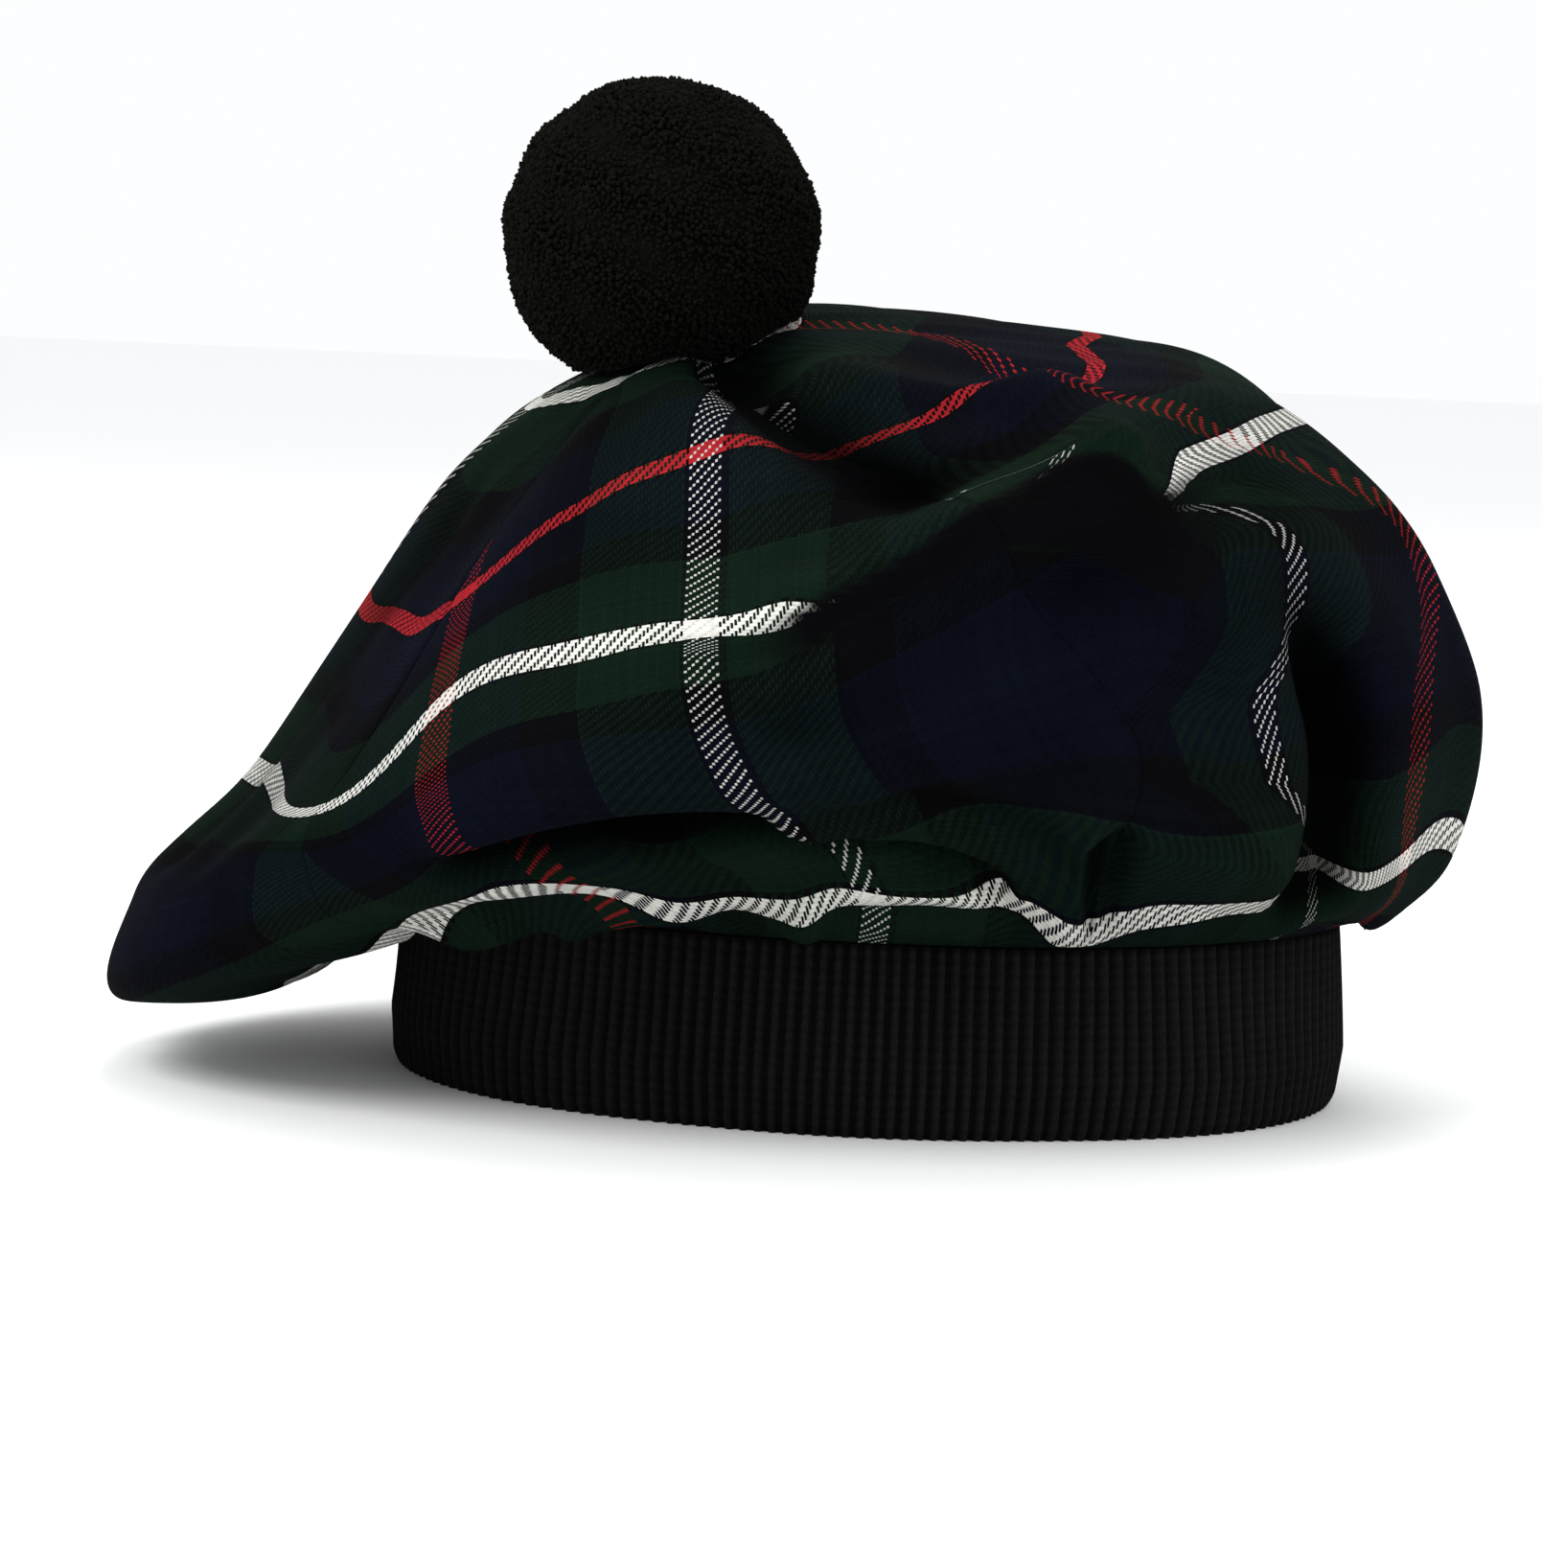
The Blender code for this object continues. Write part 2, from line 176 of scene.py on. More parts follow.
# Shares of run at which a section's rings lie, and how far each ring is centred on the crown's point
RING_RUNS = np.array([0.0, 0.12, 0.27, 0.50, 0.69, 0.82, 0.93, 0.975, 1.0])
RING_CENTRES = np.array([1.0, 1.0, 0.90, 0.45, 0.0, 0.0, 0.0, 0.0, 0.0])

FULL_TURN = 360.0

# The seams' azimuths at five shares of the run, as their solids have them
SEAM_RUNS = np.array([0.0, 0.35, 0.53, 0.75, 1.0])
BACK_RIGHT = (48.0, 48.0, 48.0, 48.0, 48.0)
BACK_LEFT = (135.0, 135.0, 135.0, 135.0, 135.0)
FRONT_LEFT = (234.0, 233.0, 228.0, 224.0, 223.0)
FRONT_RIGHT = (289.0, 288.0, 287.0, 295.0, 300.0)


class Gore(NamedTuple):
    """One gore: its seams, its flat cut, and one of the tartan's upright lines as it wanders down the cloth.

    Each row of the line is a share of the run, the line's azimuth and the fullness of the cloth beside it,
    of which past_share holds past the line.
    """

    panel: Panel
    start: tuple
    end: tuple
    cut_width: float
    cut_area: float
    line_place: float
    line: list
    past_share: float = 1.0


BACK_LINE = [(0, 90, 1), (1, 90, 1)]
LEFT_LINE = [(0, 182, 0.85), (0.3, 182.5, 0.8), (0.5, 184, 0.78), (0.8, 184, 0.8), (1, 184, 1)]
FRONT_LINE = [
    *((0, 286, 1), (0.07, 286, 1), (0.33, 268.5, 0.9), (0.45, 263.5, 0.9), (0.555, 260, 0.9)),
    *((0.6, 258.5, 0.9), (0.7, 259, 0.88), (0.757, 261.5, 0.9), (0.84, 265, 1), (0.93, 270.5, 1.04)),
    (1, 270.5, 1.04),
]
RIGHT_LINE = [
    *((0, 350, 1), (0.19, 350, 0.95), (0.26, 329, 0.9), (0.34, 318, 0.85), (0.42, 310, 0.9)),
    *((0.45, 312, 0.88), (0.494, 316, 0.88), (0.4955, 316.1, 1.36), (0.512, 318, 1.05), (0.527, 322, 0.8)),
    *((0.545, 333, 0.68), (0.562, 341, 0.86), (0.58, 346, 0.95), (0.62, 345, 0.93), (0.686, 333, 0.95)),
    *((0.753, 333, 1.1), (0.835, 339, 2), (1, 345, 2.1)),
]
BACK_RIGHT_AGAIN = tuple(a + FULL_TURN for a in BACK_RIGHT)

GORES = [
    Gore(Panel.BACK, BACK_RIGHT, BACK_LEFT, 0.210, 0.0303, -0.012, BACK_LINE),
    Gore(Panel.LEFT, BACK_LEFT, FRONT_LEFT, 0.210, 0.0303, 0.049, LEFT_LINE),
    Gore(Panel.FRONT, FRONT_LEFT, FRONT_RIGHT, 0.190, 0.0262, 0.049, FRONT_LINE),
    Gore(Panel.RIGHT, FRONT_RIGHT, BACK_RIGHT_AGAIN, 0.228, 0.0345, 0.0, RIGHT_LINE, 0.45),
]


class ClothLine(NamedTuple):
    """Millimetres of run at which the sett's cross lines and the ridge meet one azimuth.

    The last four are the cloth's own place on the ridge, the cloth tucked in behind it, and the run that
    LINE_REACH beside the second and the low white line takes up.
    """

    azimuth: float
    first_white: float
    red: float
    ridge: float
    low_white: float
    ridge_cloth: float
    tucked: float
    white_run: float
    low_white_run: float

# The cross lines' places on the flat cut, and how far either side of one its own run is set, in millimetres
LINE_CUTS = (10.0, 59.0, 108.0, 206.0)
LINE_REACH = 3.0

CLOTH_LINES = [
    ClothLine(*row)
    for row in (
        (0, 19, 68, 114, 180, 112, 0, 2.6, 3),
        (22, 21, 70, 116, 186, 112, 0, 3, 3),
        (60, 22, 68, 116, 196, 112, 0, 3, 3),
        (90, 22, 66, 114, 198, 112, 0, 3, 3),
        (135, 28, 70, 116, 194, 112, 0, 3, 3),
        (180, 35, 81, 117, 200, 112, 0, 3, 3),
        (196, 31, 79, 113, 200, 112, 0, 3, 3.4),
        (210, 28, 73, 110.5, 200, 112, 0, 3, 3.6),
        (219, 26.5, 71, 115.5, 196, 112, 0, 3, 3.6),
        (228, 25, 74, 128, 188, 112, 0, 3, 4),
        (238, 22, 80.5, 114.5, 183, 112, 0, 3, 4.5),
        (248, 19, 80.5, 120, 196, 112, 4, 3, 3.5),
        (258, 17, 78, 122.5, 200, 112, 7, 3, 3.5),
        (267, 15.5, 75.5, 122.5, 200, 110, 16, 2.6, 3.5),
        (276, 14.5, 72, 118, 200, 101, 25, 2, 3.5),
        (288, 12.5, 68, 114, 202, 97, 29, 2, 3.5),
        (297, 13, 75, 111, 211, 96, 30, 1.4, 4.6),
        (304, 13.5, 75, 119, 208, 105, 20, 1, 5),
        (312, 14, 75, 118, 203, 111, 14, 1, 5.2),
        (321, 15, 76, 117, 194, 112, 8, 1, 5),
        (334, 16, 74, 113.5, 179, 112, 2, 0.9, 3.6),
        (348, 18, 70, 113.5, 172, 112, 0, 1.3, 3.4),
    )
]


def ramp(distance: Array, span: float = 1.0) -> Array:
    """Rises from 0 to 1 over a span."""
    return np.clip(distance / span, 0.0, 1.0)


def hump(distance: Array, span: float) -> Array:
    """Falls softly from 1 at no distance."""
    return np.exp(-((distance / span) ** 2))


def between(share: Array, step: Array, values: tuple, slopes: tuple) -> Array:
    """Smooth curve between two knots.

    Args:
        share: share of the way from the first knot to the second.
        step: distance between the knots.
        values: the curve's values at the two knots.
        slopes: its slopes there.

    Returns:
        The curve's value at each place.
    """
    square, cube = share**2, share**3
    rise = (2 * cube - 3 * square + 1) * values[0] + (-2 * cube + 3 * square) * values[1]
    return rise + (cube - 2 * square + share) * step * slopes[0] + (cube - square) * step * slopes[1]


def hermite(knots: Array, values: Array, at: Array) -> Array:
    """Smooth curve through values, or through rows of values.

    Args:
        knots: places of the values, rising.
        values: one value or one row a knot.
        at: places to read the curve at.

    Returns:
        One value or one row for each place.
    """
    slopes = np.gradient(values, knots, axis=0)
    k = np.clip(np.searchsorted(knots, at) - 1, 0, len(knots) - 2)
    step = (knots[k + 1] - knots[k]).reshape((-1,) + (1,) * (values.ndim - 1))
    share = (at - knots[k]).reshape(step.shape) / step
    return between(share, step, (values[k], values[k + 1]), (slopes[k], slopes[k + 1]))


def down_curve(knots: Array, values: Array, at: Array) -> Array:
    """Rising smooth curve that never turns back, one curve a place.

    Args:
        knots: one row of rising knots for each place.
        values: one row of rising values for each place.
        at: where to read each place's own curve.

    Returns:
        One value for each place.
    """
    steps = np.diff(knots, axis=1)
    rise = np.diff(values, axis=1) / steps
    slopes = np.empty_like(values)
    slopes[:, 0] = rise[:, 0]
    slopes[:, -1] = rise[:, -1]
    slopes[:, 1:-1] = 2 * rise[:, 1:] * rise[:, :-1] / np.maximum(rise[:, 1:] + rise[:, :-1], 1e-9)
    k = np.clip((at[:, None] >= knots).sum(axis=1) - 1, 0, knots.shape[1] - 2)
    row = np.arange(len(at))
    step = steps[row, k]
    share = ramp(at - knots[row, k], step)
    ends, ways = ((rows[row, k], rows[row, k + 1]) for rows in (values, slopes))
    return between(share, step, ends, ways)


def read_table(table: list, azimuth: Array) -> Array:
    """Table whose rows start with an azimuth, read smoothly all the way round.

    Args:
        table: the rows, their azimuths rising.
        azimuth: degrees to read at.

    Returns:
        The rest of a row for each azimuth.
    """
    rows = np.array([tuple(row) for row in table])
    rows = np.concatenate([rows[-3:], rows, rows[:3]])
    rows[:3, 0] -= FULL_TURN
    rows[-3:, 0] += FULL_TURN
    return hermite(rows[:, 0], rows[:, 1:], azimuth % FULL_TURN)


@dataclass(frozen=True)
class TuckShade:
    """Where the cloth goes out of sight behind the ridge and the tartan is painted black as shade, in
    millimetres and degrees.
    """

    before: float = 1.6
    past: float = 4.6
    further: float = 11.0
    further_at: float = 301.0
    further_span: float = 10.0
    hides_from: float = 12.0
    hides_span: float = 6.0


@dataclass
class CrownForm:
    """The crown's outer face as a function of azimuth and run, in metres from the middle of the band."""

    band_length: float = 0.198
    band_width: float = 0.158
    band_height: float = 0.038
    knit_wall: float = 0.0036
    cloth_wall: float = 0.0020
    cloth_run: float = 0.218
    reach: float = 0.150
    height: float = 0.160
    apex_up: float = 0.152
    cap_reach: float = 0.026
    apex_x: float = -0.041
    apex_y: float = -0.010
    band_gap: float = 0.0003
    turn_out: float = 1.6
    turn_up: float = 1.2
    edge_in: float = 0.4
    run_slip: float = 0.004
    turn_slip: float = 0.4
    least_run: float = 0.001
    ease_at_point: float = 0.12
    ease_at_band: float = 0.10
    gather_at: float = 0.935
    gather_span: float = 0.070
    gather_height: float = 0.0013
    soft_height: float = 0.00035
    ridge_share: float = 0.9
    tuck_span: float = 3.0
    tuck: TuckShade = TuckShade()
    folds: list = field(default_factory=lambda: FOLDS + PUCKERS)

    def band_reach(self, azimuth: Array) -> Array:
        """Distance from the head's axis to the band's oval at each azimuth."""
        a = np.radians(azimuth)
        along, across = np.cos(a) / (self.band_length / 2), np.sin(a) / (self.band_width / 2)
        return 1.0 / np.sqrt(along**2 + across**2)

    def smooth(self, azimuth: Array, run: Array) -> Array:
        """Places on the outer face before folds.

        Args:
            azimuth: degrees.
            run: shares of the cloth's run.

        Returns:
            One row of x, y, z for each pair.
        """
        section = read_table(SECTIONS, azimuth)
        edge = self.band_reach(azimuth)
        seat = self.band_height + self.band_gap
        rings = [(0.0, self.apex_up), (self.cap_reach, section[:, 0] * self.height)]
        for k in range(1, 11, 2):
            rings.append((section[:, k] * self.reach, section[:, k + 1] * self.height))
        rings.append((edge + self.cloth_wall * self.turn_out, seat + self.cloth_wall * self.turn_up))
        rings.append((edge - self.knit_wall * self.edge_in, seat))
        ones = np.ones(len(azimuth))
        stack = np.stack([np.stack([out * ones, up * ones], 1) for out, up in rings], 1)
        slopes = np.gradient(stack, RING_RUNS, axis=1)
        k = np.clip(np.searchsorted(RING_RUNS, run) - 1, 0, len(RING_RUNS) - 2)
        row = np.arange(len(run))
        step = (RING_RUNS[k + 1] - RING_RUNS[k])[:, None]
        share = (run - RING_RUNS[k])[:, None] / step
        ends, ways = ((rows[row, k], rows[row, k + 1]) for rows in (stack, slopes))
        out_up = between(share, step, ends, ways)
        centred = hermite(RING_RUNS, RING_CENTRES, run)
        a = np.radians(azimuth)
        x = self.apex_x * centred + out_up[:, 0] * np.cos(a)
        y = self.apex_y * centred + out_up[:, 0] * np.sin(a)
        return np.stack([x, y, out_up[:, 1]], 1)

    def normal(self, azimuth: Array, run: Array) -> Array:
        """Outward direction of the smooth face.

        Args:
            azimuth: degrees.
            run: shares of the cloth's run.

        Returns:
            One unit vector for each pair.
        """
        low = np.maximum(run - self.run_slip, self.least_run)
        high = np.minimum(run + self.run_slip, 1.0)
        across = self.smooth(azimuth + self.turn_slip, run) - self.smooth(azimuth - self.turn_slip, run)
        down = self.smooth(azimuth, high) - self.smooth(azimuth, low)
        n = np.cross(down, across)
        return n / np.maximum(np.linalg.norm(n, axis=1, keepdims=True), 1e-12)

    def flat(self, azimuth: Array, run: Array) -> Array:
        """Places on the cloth laid flat round the crown's point."""
        a = np.radians(azimuth)
        return self.cloth_run * np.asarray(run)[..., None] * np.stack([np.cos(a), np.sin(a)], -1)

    def fold_height(self, azimuth: Array, run: Array) -> Array:
        """Height of all the folds over the smooth face, from distances on the cloth laid flat.

        Args:
            azimuth: degrees.
            run: shares of the cloth's run.

        Returns:
            Metres, less than nothing in a valley.
        """
        here = self.flat(azimuth, run)
        total = np.zeros(len(run))
        for fold in self.folds:
            start = self.flat(fold.azimuth_from, fold.run_from)
            along = self.flat(fold.azimuth_to, fold.run_to) - start
            share = ramp((here - start) @ along, max(float(along @ along), 1e-12))
            off = np.linalg.norm(here - start - share[:, None] * along, axis=1)
            total += fold.height * hump(off, fold.breadth)
        return total * (ramp(1.0 - run, self.ease_at_band) * ramp(run, self.ease_at_point))

    def ripple(self, azimuth: Array, run: Array) -> Array:
        """Small waves of cloth that is gathered into the band, and its soft unevenness elsewhere.

        Args:
            azimuth: degrees.
            run: shares of the cloth's run.

        Returns:
            Metres over the smooth face.
        """
        a = np.radians(azimuth)
        waves = 0.9 * np.sin(17 * a + 1.1 * np.sin(4 * a))
        waves += 0.55 * np.sin(29 * a + 1.3 + 1.2 * np.sin(3 * a))
        waves *= hump(run - self.gather_at, self.gather_span) * ramp(1.0 - run, 0.02)
        soft = np.sin(9 * a + 14 * run) * np.sin(17 * run + 3 * a + 0.5)
        soft += 0.6 * np.sin(21 * a - 11 * run + 1.0)
        soft *= ramp(run - 0.06, 0.2) * ramp(0.97 - run, 0.1)
        return self.gather_height * waves + self.soft_height * soft

    def outer(self, azimuth: Array, run: Array) -> Array:
        """Places on the finished outer face."""
        height = self.fold_height(azimuth, run) + self.ripple(azimuth, run)
        return self.smooth(azimuth, run) + self.normal(azimuth, run) * height[:, None]

    def tuck_shade(self, azimuth: Array, run: Array) -> Array:
        """How far each place lies in the tuck behind the ridge, where cloth goes out of sight and is painted
        black as shade.

        Args:
            azimuth: degrees.
            run: shares of the cloth's run.

        Returns:
            One share for each pair, 1 in the tuck.
        """
        line = ClothLine(0.0, *read_table(CLOTH_LINES, azimuth).T)
        past = run * self.cloth_run / MM - line.ridge
        further = hump(azimuth % FULL_TURN - self.tuck.further_at, self.tuck.further_span)
        reach = self.tuck.past + self.tuck.further * further
        hidden = ramp(line.tucked - self.tuck.hides_from, self.tuck.hides_span)
        return ramp(past + self.tuck.before) * ramp(reach - past) * hidden

    def cloth_down(self, azimuth: Array, run: Array) -> Array:
        """Distance down the flat cut from the crown's point.

        The knots are places of run and the cuts are places on the flat cloth, both in millimetres.

        Args:
            azimuth: degrees.
            run: shares of the cloth's run.

        Returns:
            Metres for each pair.
        """
        line = ClothLine(0.0, *read_table(CLOTH_LINES, azimuth).T)
        first_cut, red_cut, white_cut, low_cut = LINE_CUTS
        end = self.cloth_run / MM
        seen = ramp(line.ridge_cloth - white_cut - LINE_REACH)
        white = line.ridge - (line.ridge_cloth - white_cut)
        upper = line.red + (line.ridge - line.red) * self.ridge_share
        upper_cut = red_cut + (line.ridge_cloth - red_cut) * self.ridge_share
        upper = upper * (1 - seen) + (white - line.white_run) * seen
        upper_cut = upper_cut * (1 - seen) + (white_cut - LINE_REACH) * seen
        below_cut = line.ridge_cloth + self.tuck_span + np.maximum(line.tucked, 0.0)
        bottom = np.minimum(line.low_white + line.low_white_run, end - 1.0)
        bottom_cut = low_cut + (bottom - line.low_white) / line.low_white_run * LINE_REACH
        pairs = [
            (-0.01, first_cut - line.first_white),
            (line.first_white, first_cut),
            (line.red, red_cut),
            (upper, upper_cut),
            (line.ridge, line.ridge_cloth),
            (line.ridge + self.tuck_span, below_cut),
            (line.low_white - line.low_white_run, low_cut - LINE_REACH),
            (bottom, bottom_cut),
            (end + 0.01, bottom_cut + end - bottom),
        ]
        zero = np.zeros(len(run))
        knots, cuts = (np.stack([zero + pair[side] for pair in pairs], 1) for side in (0, 1))
        return down_curve(knots, cuts, run * end) * MM


class Grain(NamedTuple):
    """Noise over a colour: how fine it is, how many finer layers it has, its swing and its lowest share."""

    scale: float
    detail: float
    swing: float
    lowest: float


class Relief(NamedTuple):
    """How far a bump raises the surface in metres, and how strongly it shows."""

    distance: float
    strength: float


class NodeBook:
    """Short ways to write a material's nodes."""

    def __init__(self, name: str) -> None:
        """Opens a new material with a plain cloth shader.

        Args:
            name: the material's name.
        """
        self.material = bpy.data.materials.new(name)
        self.material.use_nodes = True
        self.tree = self.material.node_tree
        self.shader = self.tree.nodes["Principled BSDF"]

    def link(self, source: Socket, target: Socket) -> None:
        """Joins two sockets."""
        self.tree.links.new(source, target)

    def put(self, socket: Socket, value: object) -> None:
        """Sets a socket to a number or colour, or joins it to another socket.

        Args:
            socket: the socket to set.
            value: a number, a colour or another socket.
        """
        if isinstance(value, Socket):
            self.link(value, socket)
        else:
            socket.default_value = value

    def math(self, operation: str, a: object, b: object = 0.0, c: object = 0.0) -> Socket:
        """One step of arithmetic.

        Args:
            operation: the Math node's operation.
            a: first number or socket.
            b: second number or socket.
            c: third number or socket.

        Returns:
            The result's socket.
        """
        node = self.tree.nodes.new("ShaderNodeMath")
        node.operation = operation
        for socket, value in zip(node.inputs, (a, b, c)):
            self.put(socket, value)
        return node.outputs[0]

    def mix(self, share: object, a: object, b: object, blend: str = "MIX") -> Socket:
        """Mixes two colours.

        Args:
            share: how much of the second.
            a: first colour or socket.
            b: second colour or socket.
            blend: the way of mixing.

        Returns:
            The colour's socket.
        """
        node = self.tree.nodes.new("ShaderNodeMix")
        node.data_type = "RGBA"
        node.blend_type = blend
        self.put(node.inputs[0], share)
        self.put(node.inputs[6], a)
        self.put(node.inputs[7], b)
        return node.outputs[2]

    def noise(self, scale: float, detail: float = 2.0) -> Socket:
        """Soft noise in the object's own metres.

        Args:
            scale: how fine it is.
            detail: how many finer layers it has.

        Returns:
            The noise's socket, from 0 to 1.
        """
        node = self.tree.nodes.new("ShaderNodeTexNoise")
        node.inputs["Scale"].default_value = scale
        node.inputs["Detail"].default_value = detail
        where = self.tree.nodes.new("ShaderNodeTexCoord").outputs["Object"]
        self.link(where, node.inputs["Vector"])
        return node.outputs["Fac"]

    def grain(self, grain: Grain) -> Socket:
        """A grain's share of the colour under it."""
        return self.math("MULTIPLY_ADD", self.noise(grain.scale, grain.detail), grain.swing, grain.lowest)

    def attribute(self, name: str) -> list:
        """The three numbers that the mesh stores under a name.

        Args:
            name: the attribute's name.

        Returns:
            Their three sockets.
        """
        node = self.tree.nodes.new("ShaderNodeAttribute")
        node.attribute_name = name
        split = self.tree.nodes.new("ShaderNodeSeparateXYZ")
        self.link(node.outputs["Vector"], split.inputs[0])
        return list(split.outputs)

    def steps(self, place: object, stops: list) -> Socket:
        """Bands of plain colour.

        Args:
            place: a socket from 0 to 1.
            stops: pairs of place and colour.

        Returns:
            The colour's socket.
        """
        node = self.tree.nodes.new("ShaderNodeValToRGB")
        ramp = node.color_ramp
        ramp.interpolation = "CONSTANT"
        while len(ramp.elements) < len(stops):
            ramp.elements.new(0.5)
        for element, (at, colour) in zip(ramp.elements, stops):
            element.position = at
            element.color = (*colour, 1.0)
        self.put(node.inputs[0], place)
        return node.outputs[0]

    def darken(self, colour: object, share: Socket) -> Socket:
        """Multiplies a colour by a share.

        Args:
            colour: a colour or its socket.
            share: the share's socket.

        Returns:
            The colour's socket.
        """
        grey = self.tree.nodes.new("ShaderNodeCombineColor")
        for socket in grey.inputs[:3]:
            self.link(share, socket)
        return self.mix(1.0, colour, grey.outputs[0], "MULTIPLY")

    def bump(self, height: Socket, relief: Relief) -> None:
        """Raises the surface by a height, on top of any bump that is there.

        Args:
            height: the height's socket, from 0 to 1.
            relief: how far it rises.
        """
        node = self.tree.nodes.new("ShaderNodeBump")
        node.inputs["Distance"].default_value = relief.distance
        node.inputs["Strength"].default_value = relief.strength
        self.link(height, node.inputs["Height"])
        old = self.shader.inputs["Normal"]
        if old.is_linked:
            self.link(old.links[0].from_socket, node.inputs["Normal"])
        self.link(node.outputs[0], old)

    def wool(self, roughness: float, sheen: float, tint: tuple) -> None:
        """Gives the shader the dull, faintly hairy gloss of wool.

        Args:
            roughness: how dull.
            sheen: how much light its hairs catch.
            tint: the hairs' colour.
        """
        self.shader.inputs["Roughness"].default_value = roughness
        self.shader.inputs["Specular IOR Level"].default_value = 0.008
        self.shader.inputs["Sheen Weight"].default_value = sheen
        self.shader.inputs["Sheen Roughness"].default_value = 0.45
        self.shader.inputs["Sheen Tint"].default_value = (*tint, 1.0)


@dataclass(frozen=True)
class TartanWool:
    """Twill woven tartan: yarn colours in metres of thread and millimetres of sett, the cloth's wear, and
    painted shade in its folds and in the tuck behind the ridge.

    The sett's places run from the middle of a red line, and its fine lines' widths are halves.
    """

    thread: float = 0.00064
    half_sett: float = 0.098
    green: tuple = (0.0036, 0.0098, 0.0056)
    navy: tuple = (0.0023, 0.0030, 0.0066)
    black: tuple = (0.0022, 0.0022, 0.0027)
    white: tuple = (0.54, 0.54, 0.50)
    red: tuple = (0.29, 0.013, 0.018)
    warp_red: float = 2.7
    warp_white: float = 2.7
    weft_red: float = 1.75
    weft_white: float = 2.35
    line_lift: float = 0.72
    blend_span: float = 0.55
    blend_middle: float = 0.60
    warp_show: float = 0.35
    sheen: float = 0.002
    red_guard: float = 0.6
    navy_end: float = 17.0
    green_start: float = 27.5
    white_at: float = 49.0
    white_guard: float = 1.0
    green_end: float = 70.5
    navy_start: float = 81.0
    fray: float = 0.00016
    fray_scales: tuple = (900.0, 870.0)
    yarn_swing: float = 0.16
    seam_width: float = 0.0016
    seam_dark: float = 0.25
    # Painted shade: how much darker the deepest fold hollows are
    painted_fold_shade: float = 0.90
    nap: Grain = Grain(2600.0, 3.0, 0.7, 0.65)
    wear: Grain = Grain(34.0, 4.0, 0.90, 0.55)
    fuzz_scale: float = 3200.0
    yarn_relief: Relief = Relief(0.00022, 0.75)
    fuzz_relief: Relief = Relief(0.00020, 0.45)
    hair: tuple = (0.75, 0.80, 0.78)

    def stops(self, red: float, white: float) -> list:
        """Bands from the middle of a red line to the middle of a navy block, as shares of the half sett.

        Args:
            red: half the red line's width in millimetres.
            white: half the white line's width in millimetres.

        Returns:
            Pairs of place and colour.
        """
        widths = [
            (0.0, self.red),
            (red, self.black),
            (red + self.red_guard, self.navy),
            (self.navy_end, self.black),
            (self.green_start, self.green),
            (self.white_at - self.white_guard - white, self.black),
            (self.white_at - white, self.white),
            (self.white_at + white, self.black),
            (self.white_at + self.white_guard + white, self.green),
            (self.green_end, self.black),
            (self.navy_start, self.navy),
        ]
        return [(at * MM / self.half_sett, colour) for at, colour in widths]

    def line_stops(self) -> list:
        """White where the warp has a fine line and black elsewhere.

        Returns:
            Pairs of place, as shares of the half sett, and colour.
        """
        on, off = (1.0, 1.0, 1.0), (0.0, 0.0, 0.0)
        white_ends = (self.white_at - self.warp_white, self.white_at + self.warp_white)
        edges = ((0.0, on), (self.warp_red, off), (white_ends[0], on), (white_ends[1], off))
        return [(at * MM / self.half_sett, mark) for at, mark in edges]

    def yarns(self, book: NodeBook, place: object, scale: float, widths: tuple) -> tuple:
        """One of the cloth's two sets of yarns.

        Args:
            book: the material's nodes.
            place: the socket of the place across the yarns, in metres.
            scale: how fine their fray is.
            widths: halves of the red and the white line's widths, in millimetres.

        Returns:
            Sockets of the yarn's number and colour, the place's distance from the yarn's middle, the yarn's
            own tone, and whether it lies in a fine line.
        """
        stray = book.math("MULTIPLY", book.math("SUBTRACT", book.noise(scale), 0.5), self.fray)
        place = book.math("ADD", place, stray)
        count = book.math("FLOOR", book.math("DIVIDE", place, self.thread))
        part = book.math("SUBTRACT", book.math("DIVIDE", place, self.thread), count)
        middle = book.math("MULTIPLY", book.math("ADD", count, 0.5), self.thread)
        share = book.math("DIVIDE", book.math("PINGPONG", middle, self.half_sett), self.half_sett)
        yarn = book.steps(share, self.stops(*widths))
        fine = book.steps(share, self.line_stops())
        off = book.math("ABSOLUTE", book.math("SUBTRACT", part, 0.5))
        tone = book.tree.nodes.new("ShaderNodeTexWhiteNoise")
        tone.noise_dimensions = "1D"
        book.link(count, tone.inputs["W"])
        return count, yarn, off, tone.outputs["Value"], fine

    def dress(self) -> Material:
        """Makes the cloth's material.

        Returns:
            The material, which reads the mesh's cloth places and its shares of painted shade in fold hollows
            and in the tuck behind the ridge.
        """
        book = NodeBook("tartan_wool")
        u, v, edge = book.attribute("cloth")
        warp_scale, weft_scale = self.fray_scales
        warp = self.yarns(book, u, warp_scale, (self.warp_red, self.warp_white))
        weft = self.yarns(book, v, weft_scale, (self.weft_red, self.weft_white))
        warp_count, warp_yarn, warp_off, warp_tone, warp_fine = warp
        weft_count, weft_yarn, weft_off, weft_tone, weft_fine = weft
        turn = book.math("FLOORED_MODULO", book.math("ADD", warp_count, weft_count), 4.0)
        lifted = book.math("LESS_THAN", turn, book.math("SUBTRACT", 1.5, warp_fine))
        shows = book.math("MULTIPLY", lifted, book.math("LESS_THAN", warp_off, self.warp_show))
        soft = book.math("MULTIPLY_ADD", shows, self.blend_span, 0.5 - self.blend_span * self.blend_middle)
        line = book.math("MAXIMUM", warp_fine, weft_fine)
        gain = book.math("MULTIPLY", book.math("SUBTRACT", shows, soft), line)
        shows = book.math("ADD", soft, gain)
        dim = book.math("MULTIPLY_ADD", warp_fine, self.line_lift - 1.0, 1.0)
        colour = book.mix(shows, weft_yarn, book.darken(warp_yarn, dim))
        both = book.math("ADD", warp_tone, weft_tone)
